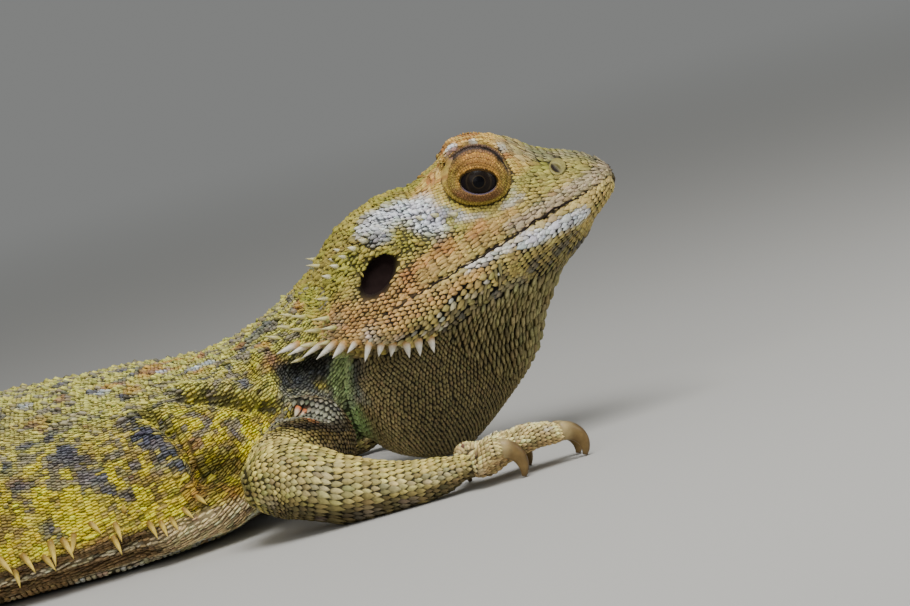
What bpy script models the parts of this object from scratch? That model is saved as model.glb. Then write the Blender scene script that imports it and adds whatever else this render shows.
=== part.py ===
"""Bearded dragon (an adult male, about half a metre long), resting flat on the floor with
its head raised and its throat pouch let down: a still, life-size museum model.

The script models in millimetres and writes metres. +X is forward, +Y the animal's left,
+Z up, and the floor is Z = 0. Nearly every piece is a loft: a path with a rounded section
that changes along it. Neighbouring pieces meet with a gap of GAP.
"""

import math

import bpy
import numpy as np
from mathutils import Vector

MM = 0.001

# Driving dimensions, in millimetres and degrees.
GAP = 0.3  # between neighbouring solids
HEAD_PITCH = 14.4  # the mouth line's rise above the floor
HEAD_PIVOT = (-7.1, 37.6)  # x and z of the mouth's corner, the origin of the head's own axes
EYE_RADIUS = 4.7
EYE_AT = (18.1, 10.9, 12.5)  # in the head's axes: forward, out from the middle, up
EAR_AT = (-8.0, 22.6, 6.4)
EAR_HALF = (4.5, 3.2, 2.8)  # half length, half depth, half height of the ear's hollow
EAR_TILT = 29.0
PALM_THICKNESS = 0.72  # as a share of its width
DIGIT_RADIUS = 1.95
DIGIT_ARCH = 1.5  # how high a digit's middle rises over the line between its ends
CLAW_RADIUS = 1.15
CLAW_CURL = 108.0
CLAW_ROOT = 0.9  # how far a claw is set back into its digit

# How far along, where, and how big each section of the body is: x, y, z of the centre, half
# width, height above the centre, depth below it, squareness above and below.
BODY = (
    (-14, 0, 40, 14.5, 9.0, 14.0, 2.2, 2.2),
    (-24, 0, 34, 17.0, 12.0, 18.0, 2.2, 1.3),
    (-34, 0, 27, 19.5, 13.6, 18.5, 2.2, 1.4),
    (-45, 0, 20, 26.5, 17.4, 16.5, 2.2, 1.9),
    (-58, 0, 14, 35.5, 22.8, 13.8, 2.1, 3.2),
    (-75, 0.5, 10.5, 41.5, 26.1, 11.4, 2.05, 3.8),
    (-95, 1, 9.8, 45.5, 27.5, 10.5, 2.0, 3.4),
    (-118, 2, 9.6, 47.0, 27.6, 10.3, 2.0, 3.4),
    (-140, 2, 9.8, 43.5, 25.4, 10.5, 2.0, 3.2),
    (-160, 2, 10.4, 34.0, 22.2, 11.1, 2.05, 2.8),
    (-176, 1, 11.4, 24.5, 17.9, 12.0, 2.1, 2.4),
    (-190, 0, 11.4, 17.2, 13.8, 11.9, 2.2, 2.3),
    (-203, -1, 10.6, 14.4, 11.4, 11.0, 2.2, 2.2),
    (-228, -4, 9.0, 12.0, 9.6, 9.4, 2.1, 2.1),
    (-262, -10, 7.5, 9.7, 8.0, 7.9, 2.1, 2.1),
    (-302, -16, 6.1, 7.7, 6.4, 6.5, 2.1, 2.1),
    (-346, -16, 4.7, 5.8, 4.9, 5.1, 2.1, 2.1),
    (-390, -8, 3.4, 4.1, 3.6, 3.8, 2.1, 2.1),
    (-430, 6, 2.3, 2.6, 2.4, 2.7, 2.0, 2.0),
    (-460, 18, 1.3, 1.2, 1.2, 1.5, 2.0, 2.0),
)
# The x that each piece of the body starts from, its rings and its corners to a ring. Each
# piece runs to the start of the next.
BODY_PIECES = {
    "neck": (-14, 8, 22),
    "trunk": (-50, 15, 22),
    "tail_1": (-190, 7, 14),
    "tail_2": (-255, 7, 12),
    "tail_3": (-325, 7, 10),
    "tail_4": (-395, 7, 8),
}
# The ledge along each flank that carries the fringe of spines: its ends, and how far out it
# stands, where round the section it runs in degrees from the top, and its half breadth.
FRINGE_ENDS = (-56, -178)
FRINGE_OUT, FRINGE_ANGLE, FRINGE_BREADTH = 1.6, 92.0, 13.0

# In the head's axes: forward, height of the widest level, half width, height above it,
# depth below it, squareness. The widest level is the line of the lips.
HEAD = (
    (42.6, 0.4, 1.6, 1.0, 1.2, 2.0),
    (41.9, 0.4, 4.2, 2.3, 2.7, 2.2),
    (40.0, 0.2, 6.8, 4.8, 4.0, 2.3),
    (36.9, 0.0, 9.0, 7.9, 5.4, 2.4),
    (32.0, 0.0, 10.9, 11.4, 7.0, 2.5),
    (28.0, 0.0, 12.0, 14.6, 8.0, 2.6),
    (23.0, 0.0, 13.8, 17.2, 8.8, 2.6),
    (18.0, 0.0, 15.3, 18.6, 9.3, 2.6),
    (12.0, 0.0, 17.2, 18.8, 9.7, 2.6),
    (6.0, 0.0, 19.0, 18.2, 10.0, 2.6),
    (-1.6, 0.0, 21.0, 18.9, 10.3, 2.5),
    (-8.0, 0.0, 22.2, 18.4, 10.0, 2.4),
    (-13.0, 0.0, 22.5, 16.8, 9.0, 2.3),
    (-18.0, 0.5, 21.2, 13.6, 8.0, 2.2),
    (-22.5, 1.0, 17.5, 9.6, 6.5, 2.1),
    (-26.0, 1.5, 10.0, 5.2, 4.0, 2.0),
)
LEAN = 0.12  # how much narrower the head is towards its crown
# Swellings of the head, one to a side: a line in the head's axes, its reach, and how far it
# pushes forward, out and up.
HEAD_SWELLINGS = (
    (((26.5, 8.0, 15.4), (21.0, 9.6, 16.6), (16.0, 10.0, 17.0), (13.0, 9.8, 16.8)), 5.4, (0, 1.0, 5.8)),
    (((19.5, 12.5, 13.0), (16.5, 12.5, 12.0)), 7.6, (0, 1.8, 0)),
    (((-20.0, 20.0, -1.0), (-10.0, 21.5, -4.5), (0.0, 19.5, -8.0)), 5.0, (-0.3, 1.4, -1.2)),
)
# The throat pouch, level by level down from the jaw: height, front, back, half width.
POUCH = (
    (1.0, 31.5, -19.0, 14.5),
    (-4.0, 36.0, -24.0, 16.8),
    (-8.0, 33.0, -26.4, 17.4),
    (-12.0, 24.6, -27.0, 17.2),
    (-17.0, 17.6, -26.8, 16.0),
    (-22.5, 12.6, -26.0, 14.0),
    (-27.0, 6.8, -23.6, 11.4),
    (-30.5, 0.0, -19.6, 8.2),
    (-32.8, -5.6, -15.9, 4.8),
    (-33.9, -8.6, -12.6, 1.6),
)
POUCH_EGG = 0.38  # how much narrower the pouch is at its front than at its back
POUCH_SQUARE = (2.2, 2.8)  # of its front and back halves

# Limb segments, each a path of x, y, z and radius.
LIMBS = {
    "upper_arm_right": ((-36, -15, 14, 8.6), (-38, -26, 13, 8.4), (-42, -37, 12.6, 7.8), (-46, -46, 12, 6.6)),
    "forearm_right": ((-51, -46.5, 11.6, 6.2), (-44, -46.8, 11.4, 7.6), (-33, -47, 7.0, 6.7),
                      (-22, -47, 4.8, 4.7), (-8, -46.5, 4.4, 3.1)),
    "upper_arm_left": ((-40, 15, 14, 8.6), (-45, 26, 13, 8.4), (-52, 36, 12.6, 7.8), (-58, 44, 12, 6.6)),
    "forearm_left": ((-63, 44, 11.6, 6.2), (-56, 46, 11.4, 7.6), (-46, 49, 7.0, 6.7),
                     (-37, 51.5, 4.8, 4.7), (-25, 54, 4.0, 3.1)),
    "thigh_right": ((-172, -9, 12.5, 10.0), (-163, -26, 12.5, 10.4), (-154, -40, 12, 9.4), (-146, -51, 10.5, 7.4)),
    "shank_right": ((-142, -54, 9.4, 6.0), (-150, -56, 9.2, 7.4), (-160, -60, 7.0, 5.8),
                    (-170, -63.5, 4.8, 4.2), (-179, -66, 4.0, 3.4)),
    "thigh_left": ((-174, 11, 12.5, 10.0), (-167, 28, 12.5, 10.4), (-160, 42, 12, 9.4), (-153, 53, 10.5, 7.4)),
    "shank_left": ((-149, 56, 9.4, 6.0), (-157, 57, 9.2, 7.4), (-168, 59, 7.0, 5.8),
                   (-179, 60.5, 4.8, 4.2), (-188, 61, 4.0, 3.4)),
}
LIMB_RINGS, LIMB_CORNERS = 9, 10
# Each hand or foot: x, y, z of the wrist or ankle, the way it points in degrees from forward
# (to the left is positive), and its palm's length and half width. Then its digits: the start
# along and across the palm, the turn away from the palm's way, the length, how high the
# digit's end is, and how far the claw reaches past it.
FEET = {
    "hand_right": (
        (-9, -46.5, 4.4), 0, 5.6, 3.9,
        ((1.0, 2.0, 98, 7.0, 5.0, 2.6), (3.0, 2.4, 47, 10.0, 5.2, 2.8), (4.0, 1.4, 27, 16.4, 5.4, 3.2),
         (4.0, 0.0, 16, 16.0, 5.6, 3.4), (1.6, -1.9, 0, 6.0, 6.0, 2.7)),
    ),
    "hand_left": (
        (-26, 54, 3.6), 10, 10, 4.3,
        ((2.0, -2.6, -80, 6.6, 3.6, 2.6), (6.0, -2.4, -34, 9.6, 4.0, 3.0), (8.0, -1.0, -12, 12.0, 4.2, 3.2),
         (8.0, 0.8, 8, 12.4, 4.2, 3.4), (4.0, 2.4, 34, 8.6, 3.8, 2.9)),
    ),
    "foot_right": (
        (-178, -66, 3.6), -58, 16, 4.6,
        ((6, 3.0, 38, 8.0, 3.6, 2.8), (11, 2.8, 22, 11.5, 4.0, 3.2), (13, 1.2, 8, 15.5, 4.2, 3.5),
         (13, -0.8, -6, 20.0, 4.2, 3.7), (6, -3.2, -44, 12.0, 3.8, 3.2)),
    ),
    "foot_left": (
        (-187, 61, 3.6), 68, 16, 4.6,
        ((6, -3.0, -38, 8.0, 3.6, 2.8), (11, -2.8, -22, 11.5, 4.0, 3.2), (13, -1.2, -8, 15.5, 4.2, 3.5),
         (13, 0.8, 6, 20.0, 4.2, 3.7), (6, 3.2, 44, 12.0, 3.8, 3.2)),
    ),
}
DIGIT_NAMES = ("first", "second", "third", "fourth", "fifth")

# Colours of the materials.
SKIN = (0.52, 0.40, 0.12)
POUCH_SKIN = (0.20, 0.15, 0.05)
CLAW_HORN = (0.42, 0.24, 0.10)
EYE_BLACK = (0.02, 0.012, 0.008)


def start_empty():
    for obj in list(bpy.data.objects):
        bpy.data.objects.remove(obj)


def collection(name, hidden=False):
    made = bpy.data.collections.new(name)
    made.hide_render = hidden
    bpy.context.scene.collection.children.link(made)
    return made


def material(name, colour, roughness):
    made = bpy.data.materials.new(name)
    made.use_nodes = True
    shader = made.node_tree.nodes["Principled BSDF"]
    shader.inputs["Base Color"].default_value = (*colour, 1)
    shader.inputs["Roughness"].default_value = roughness
    shader.inputs["Metallic"].default_value = 0
    return made


def unit(vectors):
    return vectors / np.linalg.norm(vectors, axis=-1, keepdims=True)


def knots_of(rows):
    """How far along a table's path each of its rows lies."""
    steps = np.linalg.norm(np.diff(np.array(rows, float)[:, :3], axis=0), axis=1)
    return np.concatenate([[0], np.cumsum(steps)])


def curve_through(rows, shares):
    """A smooth curve through the rows of a table, read at these shares of its length: a
    cubic between each two rows, with the slope at a row taken from its neighbours. Its
    first three columns are the place."""
    rows = np.array(rows, float)
    knots = knots_of(rows)
    slopes = np.gradient(rows, knots, axis=0)
    at = np.asarray(shares) * knots[-1]
    i = np.clip(np.searchsorted(knots, at, side="right") - 1, 0, len(rows) - 2)
    span = (knots[i + 1] - knots[i])[:, None]
    t = (at - knots[i])[:, None] / span
    return (
        rows[i] * (2 * t**3 - 3 * t**2 + 1)
        + slopes[i] * span * (t**3 - 2 * t**2 + t)
        + rows[i + 1] * (3 * t**2 - 2 * t**3)
        + slopes[i + 1] * span * (t**3 - t**2)
    )


def frame_along(rows, shares):
    """The side and up directions of upright sections across the same curve."""
    step = 1e-4
    after = curve_through(rows, np.asarray(shares) + step)
    before = curve_through(rows, np.asarray(shares) - step)
    ahead = unit((after - before)[:, :3])
    side = unit(np.cross((0, 0, 1), ahead))
    return side, np.cross(ahead, side)


def rings(centre, side, up, half_width, above, below, square, corners, square_below=None,
          lean=0.0, ledge=0.0):
    """Rounded sections, as an array of (ring, corner, 3). Each ring goes from its top round
    by the side to the bottom and back. It is a superellipse: rise = |cos|^(2/square) and
    out = |sin|^(2/square). `lean` narrows it towards its top, and `ledge` widens it at
    FRINGE_ANGLE."""
    angle = np.arange(corners) * 2 * math.pi / corners
    c, s = np.cos(angle)[None], np.sin(angle)[None]
    square = np.broadcast_to(square, len(centre))
    square_below = square if square_below is None else square_below
    power = 2 / np.where(c > 0, square[:, None], np.asarray(square_below)[:, None])
    rise = np.sign(c) * np.abs(c) ** power
    out = np.sign(s) * np.abs(s) ** power * (1 - lean * rise)
    off = (np.degrees(np.arccos(c)) - FRINGE_ANGLE) / FRINGE_BREADTH
    out_by = out * np.asarray(half_width)[:, None]
    out_by = out_by + np.sign(s) * np.exp(-off * off) * np.asarray(ledge).reshape(-1, 1)
    height = np.where(c > 0, np.asarray(above)[:, None], np.asarray(below)[:, None])
    return centre[:, None] + side[:, None] * out_by[..., None] + up[:, None] * (rise * height)[..., None]


def solid(name, grid, home, surface=None):
    """A closed mesh over a grid of rings, with a fan on each end. What would lie under the
    floor is brought up to it, which gives the flats that the animal rests on."""
    count, corners = grid.shape[:2]
    ends = np.stack([grid[0].mean(0), grid[-1].mean(0)])
    points = np.concatenate([grid.reshape(-1, 3), ends])
    points[:, 2] = np.maximum(points[:, 2], 0)
    faces = []
    last = (count - 1) * corners
    for corner in range(corners):
        following = (corner + 1) % corners
        for ring in range(0, last, corners):
            beyond = ring + corners
            faces.append((beyond + corner, beyond + following, ring + following, ring + corner))
        faces.append((count * corners, corner, following))
        faces.append((count * corners + 1, last + following, last + corner))
    mesh = bpy.data.meshes.new(name)
    mesh.from_pydata([Vector(p) * MM for p in points], [], faces)
    flip_if_inside_out(mesh)
    mesh.shade_smooth()
    obj = bpy.data.objects.new(name, mesh)
    home.objects.link(obj)
    if surface:
        mesh.materials.append(surface)
    else:
        obj.hide_render = True
        obj.display_type = "WIRE"
    return obj


def flip_if_inside_out(mesh):
    mesh.calc_loop_triangles()
    volume = 0.0
    for triangle in mesh.loop_triangles:
        a, b, c = (mesh.vertices[i].co for i in triangle.vertices)
        volume += a.dot(b.cross(c))
    if volume < 0:
        mesh.flip_normals()


def share_at(x):
    """How far along the body's path, as a share of its length, a row with this x would be."""
    knots = knots_of(BODY)
    return float(np.interp(-x, [-row[0] for row in BODY], knots / knots[-1]))


def body_loft(shares, corners):
    """A stretch of the neck, trunk and tail, with the ledge of the fringe on its flanks."""
    table = curve_through(BODY, shares)
    side, up = frame_along(BODY, shares)
    first, last = (share_at(x) for x in FRINGE_ENDS)
    along = np.clip((np.asarray(shares) - first) / (last - first), 0, 1)
    ledge = FRINGE_OUT * np.sqrt(np.sin(along * math.pi))
    return rings(table[:, :3], side, up, *table[:, 3:7].T, corners, square_below=table[:, 7],
                 ledge=ledge)


def limb_loft(rows):
    """A round limb along a path. It closes on a rounded end at each side."""
    share = np.linspace(0, 1, LIMB_RINGS)
    table = curve_through(rows, share)
    from_end = np.minimum(1, (LIMB_RINGS - 1) * np.minimum(share, 1 - share) * 0.8 + 0.12)
    radius = table[:, 3] * np.sqrt(1 - (1 - from_end) ** 2)
    side, up = frame_along(rows, share)
    return rings(table[:, :3], side, up, radius, radius, radius, 2.0, LIMB_CORNERS)


def in_head(forward, out, height):
    """A place in the head's own axes, as a place in the animal's."""
    pitch = math.radians(HEAD_PITCH)
    x = HEAD_PIVOT[0] + forward * math.cos(pitch) - height * math.sin(pitch)
    z = HEAD_PIVOT[1] + forward * math.sin(pitch) + height * math.cos(pitch)
    return np.stack(np.broadcast_arrays(x, out, z), -1).astype(float)


def distance_to_line(points, line):
    """The distance of each point to a chain of straight pieces."""
    best = np.full(points.shape[:-1], np.inf)
    for a, b in zip(line[:-1], line[1:]):
        share = np.clip(((points - a) @ (b - a)) / ((b - a) @ (b - a)), 0, 1)
        best = np.minimum(best, np.linalg.norm(points - a - share[..., None] * (b - a), axis=-1))
    return best


def head_loft(count=22, corners=24):
    """The skull and jaws, then its brows, the rims of the eyes and the back of the jaw,
    each a push that fades with the square of the distance from its line."""
    rows = np.array(HEAD)
    line = in_head(rows[:, 0], 0, rows[:, 1])
    table = curve_through(np.column_stack([line, rows[:, 2:]]), np.linspace(0, 1, count))
    side = np.broadcast_to((0.0, 1.0, 0.0), (count, 3))
    up = np.broadcast_to(in_head(0, 0, 1) - in_head(0, 0, 0), (count, 3))
    grid = rings(table[:, :3], side, up, *table[:, 3:].T, corners, lean=LEAN)
    pushed = grid.copy()
    for places, reach, push in HEAD_SWELLINGS:
        for hand in (-1, 1):
            line = np.array([in_head(forward, hand * out, height) for forward, out, height in places])
            near = distance_to_line(grid, line) / reach
            way = in_head(push[0], hand * push[1], push[2]) - in_head(0, 0, 0)
            pushed += way * np.exp(-2 * near * near)[..., None]
    return pushed


def pouch_loft(count=12, corners=20):
    """The throat pouch: level egg-shaped sections, narrow at the chin, going down."""
    rows = np.array(POUCH)
    middle = in_head((rows[:, 1] + rows[:, 2]) / 2, 0, rows[:, 0])
    half = (rows[:, 1] - rows[:, 2]) / 2
    table = curve_through(np.column_stack([middle, rows[:, 3], half]), np.linspace(0, 1, count))
    side = np.broadcast_to((0.0, 1.0, 0.0), (count, 3))
    ahead = np.broadcast_to(in_head(1, 0, 0) - in_head(0, 0, 0), (count, 3))
    return rings(table[:, :3], side, ahead, table[:, 3], table[:, 4], table[:, 4],
                 POUCH_SQUARE[0], corners, np.full(count, POUCH_SQUARE[1]), lean=POUCH_EGG)


def heading(degrees):
    turn = math.radians(degrees)
    return np.array([math.cos(turn), math.sin(turn), 0.0])


def across(degrees):
    return heading(degrees + 90)


def path_loft(points, radius, way, corners, thickness=1.0):
    """A palm, digit or claw: sections across a path that stays in one upright plane."""
    ahead = unit(np.gradient(points, axis=0))
    side = np.broadcast_to(across(way), points.shape)
    return rings(points, side, np.cross(ahead, side), radius, radius * thickness,
                 radius * thickness, 2.0, corners)


def palm_loft(foot, rings_along=6, corners=8):
    """A flattened pad, widest a little past its middle: width = sqrt(1 - offset squared)."""
    wrist, way, length, half_width, _ = FEET[foot]
    share = np.linspace(0.05, 1.05, rings_along)
    widest, spread = 0.6, 0.75
    radius = half_width * np.sqrt(1 - ((share - widest) / spread) ** 2)
    path = np.array(wrist) + heading(way) * (share * length)[:, None]
    return path_loft(path, radius, way, corners, PALM_THICKNESS)


def digit_ends(foot, digit):
    """Where a digit starts and ends."""
    wrist, way, _, _, digits = FEET[foot]
    along, aside, turn, length, end_height, _ = digits[digit]
    start = np.array(wrist) + heading(way) * along + across(way) * aside
    end = start + heading(way + turn) * length
    end[2] = end_height
    return start, end


def digit_loft(foot, digit, rings_along=5, corners=6):
    """A digit: it arches over its middle joint, tapers a little and has a blunt end."""
    _, way, _, _, digits = FEET[foot]
    start, end = digit_ends(foot, digit)
    share = np.linspace(0, 1, rings_along)
    path = start + (end - start) * share[:, None]
    path[:, 2] += DIGIT_ARCH * np.sin(share * math.pi)
    blunt = np.where(share == 1, 0.55, 1)
    radius = DIGIT_RADIUS * (1.1 - 0.2 * share) * blunt
    return path_loft(path, radius, way + digits[digit][2], corners)


def claw_loft(foot, digit, rings_along=5, corners=6):
    """A claw: a horn that leaves the digit's end forwards and hooks down to the floor, as a
    stretch of an ellipse, and tapers to a point."""
    _, way, _, _, digits = FEET[foot]
    turn, reach = digits[digit][2], digits[digit][5]
    _, end = digit_ends(foot, digit)
    share = np.linspace(0, 1, rings_along)
    curl = share * math.radians(CLAW_CURL)
    top = end[2] + 0.4
    tip = 0.3
    fall = (1 - np.cos(curl)) / (1 - math.cos(math.radians(CLAW_CURL)))
    path = end + heading(way + turn) * ((reach + CLAW_ROOT) * np.sin(curl) - CLAW_ROOT)[:, None]
    path[:, 2] = top - (top - tip) * fall
    radius = CLAW_RADIUS * (1 - 0.75 * share**1.8)
    return path_loft(path, radius, way + turn, corners, thickness=1.25)


def grown(obj, home):
    """A copy of a piece's whole loft that is GAP bigger all round, to cut a neighbour with."""
    cutter = bpy.data.objects.new(obj.name + ".room", obj.data.copy())
    cutter.rotation_euler = obj.rotation_euler
    cutter.location = obj.location
    home.objects.link(cutter)
    cutter.hide_render = True
    cutter.display_type = "WIRE"
    swell = cutter.modifiers.new("swell", "DISPLACE")
    swell.strength = GAP * MM
    swell.mid_level = 0
    return cutter


def boolean(obj, other, operation):
    step = obj.modifiers.new(operation.lower(), "BOOLEAN")
    step.operation = operation
    step.object = other
    step.solver = "EXACT"


def cut_by(obj, others, home):
    for other in others:
        boolean(obj, grown(other, home), "DIFFERENCE")


def ball(name, centre, radii, tilt, home, surface=None, segments=12):
    """An ellipsoid along the head's axis, tilted up by `tilt` degrees."""
    bpy.ops.mesh.primitive_uv_sphere_add(segments=segments, ring_count=segments // 2 + 1)
    obj = bpy.context.object
    obj.name = name
    for owner in list(obj.users_collection):
        owner.objects.unlink(obj)
    home.objects.link(obj)
    for vertex in obj.data.vertices:
        vertex.co = [c * r * MM for c, r in zip(vertex.co, radii)]
    obj.rotation_euler = (0, -math.radians(HEAD_PITCH + tilt), 0)
    obj.location = Vector(centre) * MM
    obj.data.shade_smooth()
    if surface:
        obj.data.materials.append(surface)
    else:
        obj.hide_render = True
        obj.display_type = "WIRE"
    return obj


def make_head(home, cutters, skin, black):
    head = solid("head", head_loft(), home, skin)
    eyes = []
    for hand, side in ((-1, "right"), (1, "left")):
        place = in_head(EYE_AT[0], hand * EYE_AT[1], EYE_AT[2])
        eyes.append(ball("eye_" + side, place, (EYE_RADIUS,) * 3, 0, home, black))
        place = in_head(EAR_AT[0], hand * EAR_AT[1], EAR_AT[2])
        ear = ball("ear_hollow_" + side, place, EAR_HALF, EAR_TILT, cutters)
        boolean(head, ear, "DIFFERENCE")
    cut_by(head, eyes, cutters)


def make_body(home, cutters, skin, pouch_skin):
    """The neck, trunk and tail are one loft, parted by thin cuts. The skull is cut out of
    the neck, and both are cut out of the throat pouch. Returns the neck and trunk's loft in
    one piece, to cut the limbs with."""
    starts = [share_at(x) for x, _, _ in BODY_PIECES.values()] + [1.0]
    half_gap = GAP / 2 / knots_of(BODY)[-1]
    grids = {}
    for i, (name, (_, rings_along, corners)) in enumerate(BODY_PIECES.items()):
        first = starts[i] + half_gap * (i > 0)
        last = starts[i + 1] - half_gap * (i < len(BODY_PIECES) - 1)
        grids[name] = body_loft(np.linspace(first, last, rings_along), corners)
    made = {name: solid(name, grid, home, skin) for name, grid in grids.items()}
    pouch = solid("throat_pouch", pouch_loft(), home, pouch_skin)
    skull = solid("skull", head_loft(), cutters)
    torso = solid("torso", np.concatenate([grids["neck"], grids["trunk"]]), cutters)
    cut_by(made["neck"], [skull], cutters)
    cut_by(pouch, [skull, torso], cutters)
    return torso


def make_limbs(home, cutters, skin, torso):
    """The torso is cut out of both segments of each limb, and the second out of the first."""
    made = {name: solid(name, limb_loft(rows), home, skin) for name, rows in LIMBS.items()}
    for obj in made.values():
        cut_by(obj, [torso], cutters)
    for first, second in (("upper_arm_", "forearm_"), ("thigh_", "shank_")):
        for side in ("right", "left"):
            cut_by(made[first + side], [made[second + side]], cutters)
    return made


def make_feet(home, cutters, skin, horn, limbs):
    """Each palm is one piece with its digits, and its limb is cut out of it. Each claw is
    cut by the digit that it grows from."""
    for foot in FEET:
        palm = solid(foot, palm_loft(foot), home, skin)
        limb = limbs[foot.replace("hand", "forearm").replace("foot", "shank")]
        digits = [solid(f"{foot}.{name}", digit_loft(foot, i), cutters) for i, name in enumerate(DIGIT_NAMES)]
        for digit in digits:
            boolean(palm, digit, "UNION")
        cut_by(palm, [limb], cutters)
        for i, name in enumerate(DIGIT_NAMES):
            claw = solid(f"claw_{foot}_{name}", claw_loft(foot, i), home, horn)
            cut_by(claw, [digits[i]], cutters)


def centre_on_origin(objects, everything):
    """Brings the middle of the object's box, at the floor, to the origin."""
    bpy.context.view_layer.update()
    graph = bpy.context.evaluated_depsgraph_get()
    corners = []
    for obj in objects:
        seen = obj.evaluated_get(graph)
        corners += [seen.matrix_world @ Vector(c) for c in seen.bound_box]
    low = [min(c[i] for c in corners) for i in range(3)]
    high = [max(c[i] for c in corners) for i in range(3)]
    shift = Vector(((low[0] + high[0]) / 2, (low[1] + high[1]) / 2, low[2]))
    for obj in everything:
        obj.location -= shift


def main():
    start_empty()
    dragon = collection("bearded_dragon")
    cutters = collection("cutters", hidden=True)
    skin = material("skin", SKIN, 0.75)
    pouch_skin = material("pouch_skin", POUCH_SKIN, 0.75)
    horn = material("claw_horn", CLAW_HORN, 0.45)
    black = material("eye_black", EYE_BLACK, 0.08)
    make_head(dragon, cutters, skin, black)
    torso = make_body(dragon, cutters, skin, pouch_skin)
    limbs = make_limbs(dragon, cutters, skin, torso)
    make_feet(dragon, cutters, skin, horn, limbs)
    centre_on_origin(dragon.objects, list(dragon.objects) + list(cutters.objects))


main()
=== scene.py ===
"""A bearded dragon at life size, resting on the floor with its head up and its throat pouch
let down. Places are in millimetres in the animal's own axes: +X forward, +Y its left, +Z up,
the floor at Z = 0. in_room turns them into the room's metres.
"""

import math

import bmesh
import bpy
import numpy as np
from mathutils import Matrix, Vector
from mathutils.bvhtree import BVHTree
from mathutils.kdtree import KDTree


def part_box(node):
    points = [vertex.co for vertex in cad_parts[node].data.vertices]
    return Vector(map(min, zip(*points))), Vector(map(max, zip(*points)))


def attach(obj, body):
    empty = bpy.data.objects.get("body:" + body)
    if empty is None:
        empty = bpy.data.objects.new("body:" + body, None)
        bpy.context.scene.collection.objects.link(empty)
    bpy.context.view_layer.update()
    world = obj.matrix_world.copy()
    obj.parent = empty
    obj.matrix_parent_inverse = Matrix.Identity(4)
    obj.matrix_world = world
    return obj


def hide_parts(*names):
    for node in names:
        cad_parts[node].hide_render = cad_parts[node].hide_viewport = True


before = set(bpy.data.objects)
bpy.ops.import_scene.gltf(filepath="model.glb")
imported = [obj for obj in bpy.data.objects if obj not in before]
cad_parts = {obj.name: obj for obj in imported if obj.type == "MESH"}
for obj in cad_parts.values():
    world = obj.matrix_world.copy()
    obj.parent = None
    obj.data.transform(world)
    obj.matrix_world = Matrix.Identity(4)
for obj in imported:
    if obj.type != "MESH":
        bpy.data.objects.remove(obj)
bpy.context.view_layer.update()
MM = 0.001


# --- The camera --------------------------------------------------------------------------
# A long lens, low down on the animal's right. It looks down a little and is turned about
# its own axis, as if the floor sloped up towards the animal's head.

HEAD_PITCH = math.radians(14.4)  # of the mouth's line
MOUTH_CORNER = np.array([-7.1, 0.0, 37.6])  # the origin of the head's own axes
FORWARD = np.array([math.cos(HEAD_PITCH), 0.0, math.sin(HEAD_PITCH)])
UPWARD = np.array([-math.sin(HEAD_PITCH), 0.0, math.cos(HEAD_PITCH)])
EYE_CENTRE = (18.1, 10.9, 12.5)  # forward, out from the middle, up


def in_head(forward, out, up):
    """The head's axes as the animal's: the mouth's corner, plus forward along the mouth's
    line, plus out sideways, plus up square to both."""
    forward, out, up = np.broadcast_arrays(forward, out, up)
    sideways = out[..., None] * np.array([0.0, 1.0, 0.0])
    return MOUTH_CORNER + forward[..., None] * FORWARD + sideways + up[..., None] * UPWARD


low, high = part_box("eye_right")
eye_in_room = np.array(low + high) / 2 / MM
ROOM_OFFSET = eye_in_room - in_head(EYE_CENTRE[0], -EYE_CENTRE[1], EYE_CENTRE[2])


def in_room(places):
    """Adds the place of the animal's own origin in the room, and turns mm into metres."""
    return (np.asarray(places) + ROOM_OFFSET) * MM


def add_camera(target, distance, width, look_down, turn):
    """A camera `distance` from its target, whose view is `width` wide there: the focal
    length is the sensor's width times distance over width."""
    down, roll = math.radians(look_down), math.radians(turn)
    ahead = np.array([0.0, math.cos(down), -math.sin(down)])
    upright = np.array([0.0, math.sin(down), math.cos(down)])
    level = np.array([1.0, 0.0, 0.0])
    right = level * math.cos(roll) - upright * math.sin(roll)
    top = level * math.sin(roll) + upright * math.cos(roll)
    lens = bpy.data.cameras.new("camera")
    lens.sensor_width = 36
    lens.lens = lens.sensor_width * distance / width
    lens.clip_start, lens.clip_end = 0.01, 50
    camera = bpy.data.objects.new("camera", lens)
    place = Vector(in_room(np.array(target) - ahead * distance))
    axes = Matrix((right, top, -ahead)).transposed()
    camera.matrix_world = Matrix.Translation(place) @ axes.to_4x4()
    bpy.context.collection.objects.link(camera)
    bpy.context.scene.camera = camera


add_camera(target=(-3.3, 0, 31.1), distance=800, width=182, look_down=5, turn=15)


# --- The studio --------------------------------------------------------------------------
# A plain pale floor that fades into a pale room, and three soft panels of light: a broad
# one overhead, one from behind the camera and one low in front of the animal.

FLOOR_COLOUR = (0.50, 0.49, 0.46, 1)
ROOM_COLOUR = (0.55, 0.56, 0.55, 1)
ROOM_LIGHT = 0.40
FADE_FROM, FADE_TO = 0.15, 1.8  # metres from the animal
PANELS = (  # place, what it points at, its side in mm, its power in watts
    ((60, -260, 620), (-10, 0, 30), 420, 4.6),
    ((-260, -620, 300), (-30, 0, 30), 420, 1.2),
    ((620, -180, 260), (10, 0, 40), 300, 1.0),
)


def set_inputs(node, **values):
    """Sets a node's own sockets, whose names have _ here in place of spaces."""
    for name, value in values.items():
        node.inputs[name.replace("_", " ")].default_value = value


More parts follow.
